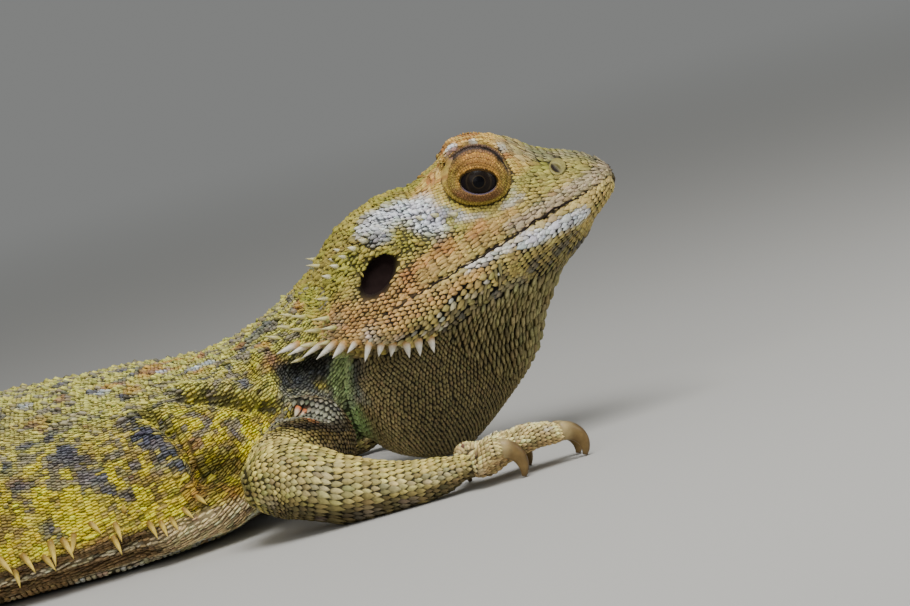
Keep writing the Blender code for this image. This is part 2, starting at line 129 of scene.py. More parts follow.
def add_studio():
    floor_mesh = bpy.data.meshes.new("floor")
    reach = 12.0
    corners = [(-reach, -reach, 0), (reach, -reach, 0), (reach, reach, 0), (-reach, reach, 0)]
    floor_mesh.from_pydata(corners, [], [(0, 1, 2, 3)])
    floor = bpy.data.objects.new("floor", floor_mesh)
    bpy.context.collection.objects.link(floor)
    paint = bpy.data.materials.new("floor_paint")
    paint.use_nodes = True
    nodes, links = paint.node_tree.nodes, paint.node_tree.links
    matt = nodes["Principled BSDF"]
    set_inputs(matt, Base_Color=FLOOR_COLOUR, Roughness=0.8)
    haze = nodes.new("ShaderNodeEmission")
    set_inputs(haze, Color=ROOM_COLOUR, Strength=ROOM_LIGHT)
    place = nodes.new("ShaderNodeTexCoord")
    away = nodes.new("ShaderNodeVectorMath")
    away.operation = "LENGTH"
    share = nodes.new("ShaderNodeMapRange")
    share.interpolation_type = "SMOOTHSTEP"
    set_inputs(share, From_Min=FADE_FROM, From_Max=FADE_TO)
    fade = nodes.new("ShaderNodeMixShader")
    links.new(place.outputs["Object"], away.inputs[0])
    links.new(away.outputs["Value"], share.inputs["Value"])
    links.new(share.outputs["Result"], fade.inputs["Fac"])
    links.new(matt.outputs["BSDF"], fade.inputs[1])
    links.new(haze.outputs["Emission"], fade.inputs[2])
    links.new(fade.outputs["Shader"], nodes["Material Output"].inputs["Surface"])
    floor_mesh.materials.append(paint)
    room = bpy.data.worlds.new("room")
    room.use_nodes = True
    set_inputs(room.node_tree.nodes["Background"], Color=ROOM_COLOUR, Strength=ROOM_LIGHT)
    bpy.context.scene.world = room
    for number, (place, target, side, power) in enumerate(PANELS):
        light = bpy.data.lights.new(f"panel_{number}", "AREA")
        light.shape, light.size, light.energy = "SQUARE", side * MM, power
        panel = bpy.data.objects.new(light.name, light)
        panel.location = Vector(in_room(place))
        aim = Vector(in_room(target)) - panel.location
        panel.rotation_euler = aim.to_track_quat("-Z", "Y").to_euler()
        bpy.context.collection.objects.link(panel)


add_studio()


# --- The skin ----------------------------------------------------------------------------
# One hide over the whole animal, a scale's depth inside its outline. The rough forms of
# the body, head, pouch, limbs and feet are closed lofts, run together into one surface;
# it is then smoothed, and the creases and swellings are pushed into it.

SKIN_DEPTH = 0.55  # how far the hide lies inside the outline
HIDE_GRAIN = 1.15  # the side of the hide's facets
HEAD_GRAIN_BACK = -20.0  # in the head's axes: the facets ahead of this are halved

# x, y, z of the middle, half width, height above it, depth below it, squareness above, below.
BODY = (
    (-14, 0, 40, 14.5, 9.0, 14.0, 2.2, 2.2),
    (-24, 0, 34, 17.0, 12.0, 18.0, 2.2, 1.3),
    (-34, 0, 27, 19.5, 13.6, 18.5, 2.2, 1.4),
    (-45, 0, 20, 26.5, 17.4, 16.5, 2.2, 1.9),
    (-58, 0, 14, 35.5, 22.8, 13.8, 2.1, 3.2),
    (-75, 0.5, 10.5, 41.5, 26.1, 11.4, 2.05, 3.8),
    (-95, 1, 9.8, 45.5, 27.5, 10.5, 2.0, 3.4),
    (-118, 2, 9.6, 47.0, 27.6, 10.3, 2.0, 3.4),
    (-140, 2, 9.8, 43.5, 25.4, 10.5, 2.0, 3.2),
    (-160, 2, 10.4, 34.0, 22.2, 11.1, 2.05, 2.8),
    (-176, 1, 11.4, 24.5, 17.9, 12.0, 2.1, 2.4),
    (-190, 0, 11.4, 17.2, 13.8, 11.9, 2.2, 2.3),
    (-203, -1, 10.6, 14.4, 11.4, 11.0, 2.2, 2.2),
    (-228, -4, 9.0, 12.0, 9.6, 9.4, 2.1, 2.1),
    (-262, -10, 7.5, 9.7, 8.0, 7.9, 2.1, 2.1),
    (-302, -16, 6.1, 7.7, 6.4, 6.5, 2.1, 2.1),
    (-346, -16, 4.7, 5.8, 4.9, 5.1, 2.1, 2.1),
    (-390, -8, 3.4, 4.1, 3.6, 3.8, 2.1, 2.1),
    (-430, 6, 2.3, 2.6, 2.4, 2.7, 2.0, 2.0),
    (-460, 18, 1.3, 1.2, 1.2, 1.5, 2.0, 2.0),
)
FRINGE_ENDS = (-56, -178)  # the ledge along each flank: from x to x
FRINGE_OUT, FRINGE_ANGLE, FRINGE_BREADTH = 1.6, 92.0, 13.0
# In the head's axes: forward, height of the widest level, half width, height above it,
# depth below it, squareness.
HEAD = (
    (42.6, 0.4, 1.6, 1.0, 1.2, 2.0),
    (41.9, 0.4, 4.2, 2.3, 2.7, 2.2),
    (40.0, 0.2, 6.8, 4.8, 4.0, 2.3),
    (36.9, 0.0, 9.0, 7.9, 5.4, 2.4),
    (32.0, 0.0, 10.9, 11.4, 7.0, 2.5),
    (28.0, 0.0, 12.0, 14.6, 8.0, 2.6),
    (23.0, 0.0, 13.8, 17.2, 8.8, 2.6),
    (18.0, 0.0, 15.3, 18.6, 9.3, 2.6),
    (12.0, 0.0, 17.2, 18.8, 9.7, 2.6),
    (6.0, 0.0, 19.0, 18.2, 10.0, 2.6),
    (-1.6, 0.0, 21.0, 18.9, 10.3, 2.5),
    (-8.0, 0.0, 22.2, 18.4, 10.0, 2.4),
    (-13.0, 0.0, 22.5, 16.8, 9.0, 2.3),
    (-18.0, 0.5, 21.2, 13.6, 8.0, 2.2),
    (-22.5, 1.0, 17.5, 9.6, 6.5, 2.1),
    (-26.0, 1.5, 10.0, 5.2, 4.0, 2.0),
)
HEAD_LEAN = 0.12  # how much narrower it is towards its crown
# Brow, rim of the eye, back of the jaw: a line in the head's axes, its reach, and how far it
# pushes forward, out and up.
HEAD_SWELLINGS = (
    (((26.5, 8.0, 15.4), (21.0, 9.6, 16.6), (16.0, 10.0, 17.0), (13.0, 9.8, 16.8)), 5.4, (0, 1.0, 5.8)),
    (((19.5, 12.5, 13.0), (16.5, 12.5, 12.0)), 7.6, (0, 1.8, 0)),
    (((-20.0, 20.0, -1.0), (-10.0, 21.5, -4.5), (0.0, 19.5, -8.0)), 5.0, (-0.3, 1.4, -1.2)),
)
# The pouch, level by level down from the jaw: height, front, back, half width.
POUCH = (
    (1.0, 31.5, -19.0, 14.5),
    (-4.0, 36.0, -24.0, 16.8),
    (-8.0, 33.0, -26.4, 17.4),
    (-12.0, 24.6, -27.0, 17.2),
    (-17.0, 17.6, -26.8, 16.0),
    (-22.5, 12.6, -26.0, 14.0),
    (-27.0, 6.8, -23.6, 11.4),
    (-30.5, 0.0, -19.6, 8.2),
    (-32.8, -5.6, -15.9, 4.8),
    (-33.9, -8.6, -12.6, 1.6),
)
POUCH_EGG = 0.38  # how much narrower its front is than its back
# Each limb's two segments, as paths of x, y, z and radius.
LIMBS = {
    "upper_arm_right": ((-36, -15, 14, 8.6), (-38, -26, 13, 8.4), (-42, -37, 12.6, 7.8), (-46, -46, 12, 6.6)),
    "forearm_right": ((-51, -46.5, 11.6, 6.2), (-44, -46.8, 11.4, 7.6), (-33, -47, 7.0, 6.7),
                      (-22, -47, 4.8, 4.7), (-8, -46.5, 4.4, 3.1)),
    "upper_arm_left": ((-40, 15, 14, 8.6), (-45, 26, 13, 8.4), (-52, 36, 12.6, 7.8), (-58, 44, 12, 6.6)),
    "forearm_left": ((-63, 44, 11.6, 6.2), (-56, 46, 11.4, 7.6), (-46, 49, 7.0, 6.7),
                     (-37, 51.5, 4.8, 4.7), (-25, 54, 4.0, 3.1)),
    "thigh_right": ((-172, -9, 12.5, 10.0), (-163, -26, 12.5, 10.4),
                    (-154, -40, 12, 9.4), (-146, -51, 10.5, 7.4)),
    "shank_right": ((-142, -54, 9.4, 6.0), (-150, -56, 9.2, 7.4), (-160, -60, 7.0, 5.8),
                    (-170, -63.5, 4.8, 4.2), (-179, -66, 4.0, 3.4)),
    "thigh_left": ((-174, 11, 12.5, 10.0), (-167, 28, 12.5, 10.4),
                   (-160, 42, 12, 9.4), (-153, 53, 10.5, 7.4)),
    "shank_left": ((-149, 56, 9.4, 6.0), (-157, 57, 9.2, 7.4), (-168, 59, 7.0, 5.8),
                   (-179, 60.5, 4.8, 4.2), (-188, 61, 4.0, 3.4)),
}
# Each hand or foot: x, y, z of the wrist or ankle, the way it points in degrees from forward,
# its palm's length and half width. Then its digits: the start along and across the palm,
# the turn away from the palm's way, the length, the end's height, and the claw's reach.
TOES = ((6, 3.0, 38, 8.0, 3.6, 2.8), (11, 2.8, 22, 11.5, 4.0, 3.2), (13, 1.2, 8, 15.5, 4.2, 3.5),
        (13, -0.8, -6, 20.0, 4.2, 3.7), (6, -3.2, -44, 12.0, 3.8, 3.2))
FEET = {
    "hand_right": (
        (-9, -46.5, 4.4), 0, 5.6, 3.9,
        ((1.0, 2.0, 98, 7.0, 5.0, 2.6), (3.0, 2.4, 47, 10.0, 5.2, 2.8), (4.0, 1.4, 27, 16.4, 5.4, 3.2),
         (4.0, 0.0, 16, 16.0, 5.6, 3.4), (1.6, -1.9, 0, 6.0, 6.0, 2.7)),
    ),
    "hand_left": (
        (-26, 54, 3.6), 10, 10, 4.3,
        ((2.0, -2.6, -80, 6.6, 3.6, 2.6), (6.0, -2.4, -34, 9.6, 4.0, 3.0), (8.0, -1.0, -12, 12.0, 4.2, 3.2),
         (8.0, 0.8, 8, 12.4, 4.2, 3.4), (4.0, 2.4, 34, 8.6, 3.8, 2.9)),
    ),
    "foot_right": ((-178, -66, 3.6), -58, 16, 4.6, TOES),
    "foot_left": ((-187, 61, 3.6), 68, 16, 4.6, [(a, -b, -turn, *rest) for a, b, turn, *rest in TOES]),
}
DIGIT_NAMES = ("first", "second", "third", "fourth", "fifth")
LEFT, SKY = np.array([0.0, 1.0, 0.0]), np.array([0.0, 0.0, 1.0])
PALM_THICKNESS = 0.72
DIGIT_RADIUS, DIGIT_ARCH = 2.8, 1.5


def unit(vectors):
    return vectors / np.maximum(np.linalg.norm(vectors, axis=-1, keepdims=True), 1e-12)


def bell(values, middle, reach, power=2):
    """exp(-((value - middle) / reach)^power): 1 at the middle, fading to 0 past the reach."""
    return np.exp(-(((values - middle) / reach) ** power))


def knots_of(rows):
    """How far along a table's path each of its rows lies."""
    steps = np.linalg.norm(np.diff(np.array(rows, float)[:, :3], axis=0), axis=1)
    return np.concatenate([[0], np.cumsum(steps)])


def curve_through(rows, shares):
    """A table read at these shares of its path's length: a cubic between each two rows,
    whose slope at a row comes from the rows beside it."""
    rows, knots = np.array(rows, float), knots_of(rows)
    slopes = np.gradient(rows, knots, axis=0)
    at = np.asarray(shares) * knots[-1]
    i = np.clip(np.searchsorted(knots, at, side="right") - 1, 0, len(rows) - 2)
    span = (knots[i + 1] - knots[i])[:, None]
    t = (at - knots[i])[:, None] / span
    return (
        rows[i] * (2 * t**3 - 3 * t**2 + 1)
        + slopes[i] * span * (t**3 - 2 * t**2 + t)
        + rows[i + 1] * (3 * t**2 - 2 * t**3)
        + slopes[i + 1] * span * (t**3 - t**2)
    )


def frame_along(rows, shares):
    """The side and up directions of upright sections across that path."""
    step = 1e-4
    ahead = unit((curve_through(rows, shares + step) - curve_through(rows, shares - step))[:, :3])
    side = unit(np.cross((0, 0, 1), ahead))
    return side, np.cross(ahead, side)


def rounded(centre, side, up, half_width, above, below, square, angle, square_below=None,
            lean=0.0, ledge=0.0):
    """A point on each of many superellipses: rise = |cos|^(2/square) and out =
    |sin|^(2/square) of the angle from the top. `lean` narrows it towards the top, and
    `ledge` widens it at FRINGE_ANGLE."""
    c, s = np.cos(angle), np.sin(angle)
    square_below = square if square_below is None else square_below
    power = 2 / np.where(c > 0, square, square_below)
    rise = np.sign(c) * np.abs(c) ** power
    out = np.sign(s) * np.abs(s) ** power * (1 - lean * rise) * half_width
    off = (np.degrees(np.arccos(np.clip(c, -1, 1))) - FRINGE_ANGLE) / FRINGE_BREADTH
    out = out + np.sign(s) * np.exp(-off * off) * ledge
    rise = rise * np.where(c > 0, above, below)
    return centre + side * out[:, None] + up * rise[:, None]


def share_at(x):
    """How far along the body's path, as a share of its length, a row with this x would be."""
    knots = knots_of(BODY)
    return float(np.interp(-x, [-row[0] for row in BODY], knots / knots[-1]))


FRINGE_SHARES = [share_at(x) for x in FRINGE_ENDS]


def body(along, angle):
    """Neck, trunk and tail, with the fringe's ledge: FRINGE_OUT * sqrt(sin) between its ends."""
    table = curve_through(BODY, along)
    side, up = frame_along(BODY, along)
    share = np.clip((along - FRINGE_SHARES[0]) / (FRINGE_SHARES[1] - FRINGE_SHARES[0]), 0, 1)
    ledge = FRINGE_OUT * np.sqrt(np.sin(share * math.pi))
    return rounded(table[:, :3], side, up, *table[:, 3:7].T, angle, table[:, 7], ledge=ledge)


def distance_to_line(points, line):
    """The distance of each point to a chain of straight pieces."""
    line = np.asarray(line, float)
    best = np.full(points.shape[:-1], np.inf)
    for a, b in zip(line[:-1], line[1:]):
        share = np.clip(((points - a) @ (b - a)) / ((b - a) @ (b - a)), 0, 1)
        best = np.minimum(best, np.linalg.norm(points - a - share[..., None] * (b - a), axis=-1))
    return best


def mirrored(points):
    """The same places on the animal's left, so that one line serves both sides."""
    return points * (1 - LEFT) + np.abs(points) * LEFT


def beside(points, line):
    """The distance of points on either side to a line that is given on the left."""
    return distance_to_line(mirrored(points), line)


def head_line(places, hand=1):
    """Places in the head's axes as the animal's, on its left or mirrored on its right."""
    return in_head(*(np.array(places, float) * (1, hand, 1)).T)


def head(along, angle):
    """Skull and jaws, nose to nape, and their swellings: each a push that fades as
    exp(-2 * (distance / reach) squared) from its line."""
    rows = np.array(HEAD)
    line = in_head(rows[:, 0], 0.0, rows[:, 1])
    table = curve_through(np.column_stack([line, rows[:, 2:]]), along)
    points = rounded(table[:, :3], LEFT, UPWARD, *table[:, 3:].T, angle, lean=HEAD_LEAN)
    pushed = points.copy()
    for line, reach, push in HEAD_SWELLINGS:
        for hand in (-1, 1):
            near = distance_to_line(points, head_line(line, hand)) / reach
            way = head_line(push, hand) - MOUTH_CORNER
            pushed += way * np.exp(-2 * near * near)[:, None]
    return pushed


def pouch(along, angle):
    """The throat pouch, from the jaw down: egg-shaped level sections, angle 0 at the front."""
    rows = np.array(POUCH)
    middle = in_head((rows[:, 1] + rows[:, 2]) / 2, 0.0, rows[:, 0])
    half = (rows[:, 1] - rows[:, 2]) / 2
    table = curve_through(np.column_stack([middle, rows[:, 3], half]), along)
    return rounded(table[:, :3], LEFT, FORWARD, table[:, 3], table[:, 4], table[:, 4], 2.2, angle,
                   square_below=2.8, lean=POUCH_EGG)


def limb(name):
    """A round limb segment that closes in a rounded end: radius * sqrt(1 - (1 - t)^2)."""
    rows = LIMBS[name]

    def surface(along, angle):
        table = curve_through(rows, along)
        from_end = np.minimum(1, 6.4 * np.minimum(along, 1 - along) + 0.12)
        radius = table[:, 3] * np.sqrt(1 - (1 - from_end) ** 2)
        side, up = frame_along(rows, along)
        return rounded(table[:, :3], side, up, radius, radius, radius, 2.0, angle)

    return surface


def heading(degrees):
    turn = math.radians(degrees)
    return np.array([math.cos(turn), math.sin(turn), 0.0])


def palm(foot):
    """A flattened pad, widest a little past its middle."""
    wrist, way, length, half_width, _ = FEET[foot]
    side = heading(way + 90)

    def surface(along, angle):
        share = 0.05 + along
        radius = half_width * np.sqrt(1 - ((share - 0.6) / 0.75) ** 2)
        centre = np.array(wrist) + heading(way) * (share * length)[:, None]
        thick = radius * PALM_THICKNESS
        return rounded(centre, side, SKY, radius, thick, thick, 2.0, angle)

    return surface


def digit_ends(foot, digit):
    """Where a digit starts and ends."""
    wrist, way, _, _, digits = FEET[foot]
    along, aside, turn, length, end_height, _ = digits[digit]
    start = np.array(wrist) + heading(way) * along + heading(way + 90) * aside
    end = start + heading(way + turn) * length
    end[2] = end_height
    return start, end


def digit(foot, number):
    """A digit that arches over its middle joint, swells at the joint and ends bluntly."""
    _, way, _, _, digits = FEET[foot]
    start, end = digit_ends(foot, number)
    side = heading(way + digits[number][2] + 90)

    def surface(along, angle):
        centre = start + (end - start) * along[:, None]
        centre[:, 2] += DIGIT_ARCH * np.sin(along * math.pi)
        blunt = np.sqrt(np.clip(1 - ((along - 0.86) / 0.16).clip(0) ** 2, 0.05, 1))
        joint = 1 + 0.08 * bell(along, 0.5, 0.14)
        radius = DIGIT_RADIUS * (1.1 - 0.2 * along) * blunt * joint
        return rounded(centre, side, SKY, radius, radius, radius, 2.0, angle)

    return surface


def wheel(rings, sides):
    """Every pairing of a ring and one of the angles round it."""
    ring, turn = np.meshgrid(rings, np.arange(sides) * math.tau / sides, indexing="ij")
    return ring.ravel(), turn.ravel()


def closed_grid(surface, rings, corners):
    """A loft's closed mesh: rings of quads, and a fan of triangles on each end."""
    points = surface(*wheel(np.linspace(0, 1, rings), corners))
    ends = [points[:corners].mean(0), points[-corners:].mean(0)]
    points = np.vstack([points, ends])
    ring, corner = np.meshgrid(np.arange(rings - 1), np.arange(corners), indexing="ij")
    a = (ring * corners + corner).ravel()
    b = (ring * corners + (corner + 1) % corners).ravel()
    faces = np.column_stack([a + corners, b + corners, b, a]).tolist()
    corner, following = np.arange(corners), (np.arange(corners) + 1) % corners
    head_end, tail_end = rings * corners, rings * corners + 1
    last = (rings - 1) * corners
    faces += np.column_stack([np.full(corners, head_end), corner, following]).tolist()
    faces += np.column_stack([np.full(corners, tail_end), last + following, last + corner]).tolist()
    return points, faces


def join_forms(forms):
    """One mesh of many closed ones, in the room's metres."""
    points, faces, so_far = [], [], 0
    for places, sides in forms:
        points.append(places)
        faces += [[corner + so_far for corner in side] for side in sides]
        so_far += len(places)
    mesh = bpy.data.meshes.new("forms")
    mesh.from_pydata(in_room(np.vstack(points)), [], faces)
    return mesh


def run_together(mesh, grain):
    """The outer surface of everything in the mesh, remade from even square facets."""
    rough = bpy.data.objects.new("rough_forms", mesh)
    bpy.context.collection.objects.link(rough)
    remesh = rough.modifiers.new("run_together", "REMESH")
    remesh.mode = "VOXEL"
    remesh.voxel_size = grain * MM
    bpy.context.view_layer.update()
    made = bpy.data.meshes.new_from_object(rough.evaluated_get(bpy.context.evaluated_depsgraph_get()))
    bpy.data.objects.remove(rough)
    return made


def halve_head_facets(mesh):
    """Each facet of the head becomes four."""
    fine = bmesh.new()
    fine.from_mesh(mesh)
    offset, towards = Vector(in_room(MOUTH_CORNER)), Vector(FORWARD)
    edges = [e for e in fine.edges if (e.verts[0].co - offset).dot(towards) > HEAD_GRAIN_BACK * MM]
    bmesh.ops.subdivide_edges(fine, edges=edges, cuts=1, use_grid_fill=True)
    bmesh.ops.triangulate(fine, faces=[f for f in fine.faces if len(f.verts) > 4])
    fine.to_mesh(mesh)
    fine.free()


def read_points(mesh):
    points = np.empty(len(mesh.vertices) * 3, np.float32)
    mesh.vertices.foreach_get("co", points)
    return points.reshape(-1, 3).astype(float) / MM - ROOM_OFFSET


def write_points(mesh, points):
    mesh.vertices.foreach_set("co", in_room(points).astype(np.float32).ravel())
    mesh.update()


def read_normals(mesh):
    normals = np.empty(len(mesh.vertices) * 3, np.float32)
    mesh.vertex_normals.foreach_get("vector", normals)
    return normals.reshape(-1, 3).astype(float)


def smoothed(mesh, points, rounds, amount=0.5):
    """Each point moves part of the way to the middle of its neighbours, then part of the
    way back, so that the whole doesn't shrink."""
    edges = np.empty(len(mesh.edges) * 2, np.int32)
    mesh.edges.foreach_get("vertices", edges)
    a, b = edges.reshape(-1, 2).T
    count = np.bincount(np.concatenate([a, b]), minlength=len(points))[:, None]
    for part in np.tile([amount, -amount * 1.04], rounds):
        total = np.column_stack([
            np.bincount(np.concatenate([a, b]), np.concatenate([points[b, k], points[a, k]]), len(points))
            for k in range(3)
        ])
        points = points + part * (total / count - points)
    return points


# The creases (minus) and swellings (plus) that are pushed into the hide: a line of places
# on the left, its reach and how far it pushes. They serve both sides.
BODY_FOLDS = (
    (((-59, 23.5, 28.6), (-50, 25, 25.6), (-44, 26, 22.8), (-38, 26, 20)), 1.25, -2.4),
    (((-59, 21.5, 30.8), (-50, 22.5, 28.0), (-44, 23.5, 25.4), (-38, 24, 22.6)), 2.0, 1.7),
    (((-52, 27, 26), (-46, 28.5, 22.5), (-42, 30, 20)), 2.6, 0.8),
    (((-66, 28, 28), (-61.5, 32, 23), (-59, 34.5, 17), (-58, 35, 13.5)), 1.5, -2.3),
    (((-69, 28, 28.5), (-65, 33, 23), (-62.5, 36, 17.5)), 2.6, 1.2),
    (((-57, 33, 15), (-52, 33, 14), (-48, 35, 14)), 3.4, -3.0),
    (((-40, 29, 21.8), (-35.5, 28.5, 20.8), (-31, 30, 19.5)), 2.6, -1.0),
    (((-42.5, 17, 32), (-42.5, 21, 28.5), (-43.5, 24, 24.5)), 2.0, 2.2),
    (((-32.5, 18, 27), (-36.5, 19.5, 27.2)), 3.2, -3.4),
    (((-38, 24, 21.5), (-33, 23, 20)), 3.0, 1.6),
    (((-68, 38.5, 5.6), (-61, 37, 4.4), (-54, 32, 4.0), (-46, 30, 4.0)), 4.2, 2.6),
    (((-57, 45, 8), (-57, 44, 13)), 4.6, 2.8),
)
HEAD_FOLDS = (
    (((-17, 16.5, 11.5), (-11, 16.5, 13.2), (-5, 15.6, 13.2)), 1.9, 1.0),
    (((-10, 18.8, 10.2), (-4, 18.6, 10.6)), 1.7, -0.9),
    (((-14.5, 12, 15.8), (-13, 15, 13.8)), 2.0, 0.8),
    (((-3, 13, 16.5), (-1, 11, 18)), 1.4, 0.8),
    (((4, 17, 10), (10, 16, 9.2)), 2.2, -0.6),
    (((6.5, 15.8, 12), (12.5, 16.2, 9.0)), 1.3, 0.7),
    (((11.6, 3.0, 22.5), (12.0, 8.0, 22.2), (11.0, 12.5, 19.3)), 2.8, -2.7),
    (((14.6, 3.0, 23.2), (14.4, 9.0, 22.6), (13.0, 12.5, 20.4)), 2.0, -0.9),
    (((16.5, 4, 22), (21, 4, 22), (21, 9, 21.2), (16.5, 9, 21.2)), 2.8, 0.9),
    (((27.2, 2, 18.6), (27.6, 8.5, 17.4)), 2.2, -0.6),
    (((39.5, 3, 5.6), (41.2, 2, 3.6)), 2.2, 0.6),
    (((13.2, 11.0, 19.2), (17.1, 11.6, 19.6), (21, 11.6, 18.2), (24.0, 10.8, 15.4)), 1.3, -1.0),
    (((30, 9.6, 9.8), (35.5, 7.6, 7.6), (39, 5.4, 4.6)), 1.4, 0.35),
    (((28, 4, 15.4), (33, 3.5, 12.0), (37, 3, 8.5)), 4.0, 0.55),
    (((-3, 20.2, 1.5), (-10, 22.0, -0.5), (-17, 21.5, 0.5)), 1.6, -0.6),
)
MOUTH_BACK, MOUTH_DEEP, MOUTH_REACH = -6.0, 1.1, 0.6
SOCKET_RADIUS, SOCKET_DEEP = 5.6, 3.4
EAR_MIDDLE = (-8.0, 6.4)  # in the head's axes: forward, up
EAR_HALF_LONG, EAR_HALF_SHORT, EAR_TILT, EAR_DEEP = 4.9, 2.8, math.radians(26), 3.6
# Round the body's section, in degrees from the top: the creases and rolls of the belly's
# edge under the fringe, how far each reaches, and how far it pushes.
BELLY_ROLLS = ((101.0, 1.2, -1.7), (106.5, 1.2, 0.7), (112.0, 1.0, -1.2), (117.0, 1.2, 0.5))


def head_axes(points):
    """The animal's axes as the head's: forward, out, up."""
    away = points - MOUTH_CORNER
    return np.stack([away @ FORWARD, points[..., 1], away @ UPWARD], -1)


def push_line(points, normals, line, reach, out):
    """Moves points along their normals by out * exp(-(distance to the line / reach)^2)."""
    return points + normals * (out * bell(beside(points, line), 0, reach))[:, None]


def oval_axes(forward, up, middle, tilt):
    """How far along and across a tilted oval places lie, from its middle."""
    ahead, above = forward - middle[0], up - middle[1]
    return ahead * math.cos(tilt) + above * math.sin(tilt), above * math.cos(tilt) - ahead * math.sin(tilt)


def ear_ellipse(points):
    """1 on the rim of the ear's opening, and 0 at its middle."""
    forward, _, up = head_axes(points).T
    long, short = oval_axes(forward, up, EAR_MIDDLE, EAR_TILT)
    return np.hypot(long / EAR_HALF_LONG, short / EAR_HALF_SHORT)


def from_eye(forward, up):
    return np.hypot(forward - EYE_CENTRE[0], up - EYE_CENTRE[2])


def step_between(low, high, values):
    """0 below low, 1 above high, and 3t^2 - 2t^3 between."""
    t = np.clip((values - low) / (high - low), 0, 1)
    return t * t * (3 - 2 * t)


def mouth_line(back=MOUTH_BACK, count=40):
    """The line between the lips on the animal's left, from the snout's tip."""
    rows = np.array(HEAD)
    knots = knots_of(in_head(rows[:, 0], 0.0, rows[:, 1]))
    shares = np.interp(np.linspace(41.8, back, count), rows[::-1, 0], knots[::-1] / knots[-1])
    return head(shares, np.full(count, math.pi / 2))


def fold_hide(points, normals):
    """Points of the hide after every crease, swelling, roll, socket and ear is pushed in."""
    folds = BODY_FOLDS + tuple((head_line(line), reach, out) for line, reach, out in HEAD_FOLDS)
    for line, reach, out in folds:
        points = push_line(points, normals, line, reach, out)
    along = np.linspace(share_at(-60), share_at(-176), 60)
    for degrees, reach, out in BELLY_ROLLS:
        for hand in (-1, 1):
            line = body(along, np.full(60, hand * math.radians(degrees)))
            points = points + normals * (out * bell(distance_to_line(points, line), 0, reach))[:, None]
    points = push_line(points, normals, mouth_line(), MOUTH_REACH, -MOUTH_DEEP)
    forward, out, up = head_axes(points).T
    on_side = step_between(6.0, 9.0, np.abs(out))
    inward = SOCKET_DEEP * bell(from_eye(forward, up), 0, SOCKET_RADIUS, 4) * on_side
    inward = inward + EAR_DEEP * (1 - step_between(0.7, 1.15, ear_ellipse(points))) * on_side
    return points - LEFT * (np.sign(out) * inward)[:, None]


def make_hide():
    forms = [closed_grid(body, 260, 64), closed_grid(head, 90, 72), closed_grid(pouch, 40, 48)]
    forms += [closed_grid(limb(name), 30, 28) for name in LIMBS]
    for foot in FEET:
        forms.append(closed_grid(palm(foot), 14, 24))
        forms += [closed_grid(digit(foot, number), 20, 18) for number in range(len(DIGIT_NAMES))]
    mesh = run_together(join_forms(forms), HIDE_GRAIN)
    write_points(mesh, smoothed(mesh, read_points(mesh), 8))
    halve_head_facets(mesh)
    points = smoothed(mesh, read_points(mesh), 3)
    write_points(mesh, points)
    normals = read_normals(mesh)
    inset = SKIN_DEPTH * step_between(0.2, 2.2, points[:, 2])
    points = fold_hide(points - normals * inset[:, None], normals)
    points[:, 2] = np.maximum(points[:, 2], 0.1)
    write_points(mesh, points)
    mesh.shade_smooth()
    return mesh


hide_mesh = make_hide()
hide_mesh.name = "skin"
hide = bpy.data.objects.new("skin", hide_mesh)
bpy.context.collection.objects.link(hide)
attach(hide, "root")
flesh = [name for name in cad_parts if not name.startswith(("claw_", "eye_"))]
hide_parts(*flesh)


# --- The scales of the back, flanks, neck and tail ----------------------------------------
# Thin keeled scales of horn in rows down the body, each lying over the root of the next
# one back. They are smallest on the neck, spiny on the back and largest on the tail.

dice = np.random.default_rng(7)
NOISE_CELLS = dice.random(4096) * 2 - 1
SIDES = ((-1, "right"), (1, "left"))
# Half of a scale's rim, from root to tip: along, across, its height, and the height of a
# smaller ring over it.
BROAD_RIM = ((-0.50, 0.0, -0.35, -0.15), (-0.36, 0.32, -0.3, 0.0), (-0.02, 0.50, -0.12, 0.34),
             (0.30, 0.33, 0.14, 0.58), (0.60, 0.0, 0.42, 0.86))
CHIP_RIM = ((-0.50, 0.0, -0.35, 0), (-0.16, 0.47, -0.05, 0), (0.30, 0.34, 0.32, 0), (0.60, 0.0, 0.5, 0))
SCALE_TOP_SIZE = 0.80
SCALE_KEEL = ((-0.18, 0.0, 0.52), (0.22, 0.0, 0.95))
# Painted light and shade on each scale: how light its rim (painted shade), the ring over it
# and its keel (painted highlight) are, at the root and at the tip.
RIM_LIGHT, TOP_LIGHT, KEEL_LIGHT = (0.10, 0.26), (0.42, 1.3), (0.8, 1.16)
# A chip's rim is painted dark at its root as painted shade and light at its tip as painted highlight.
CHIP_LIGHT = (0.18, 0.92)


def ring_band(count):
    """Triangles between a ring 0..count-1 and the ring after it."""
    first = np.arange(count)
    after = (first + 1) % count
    return np.vstack([np.column_stack([first, after, after + count]),
                      np.column_stack([first, after + count, first + count])])


def underside(count):
    """A fan of triangles that closes a rim 0..count-1 from below."""
    first = np.arange(count)
    return np.column_stack([np.zeros(count - 2, int), first[2:], first[1:-1]])


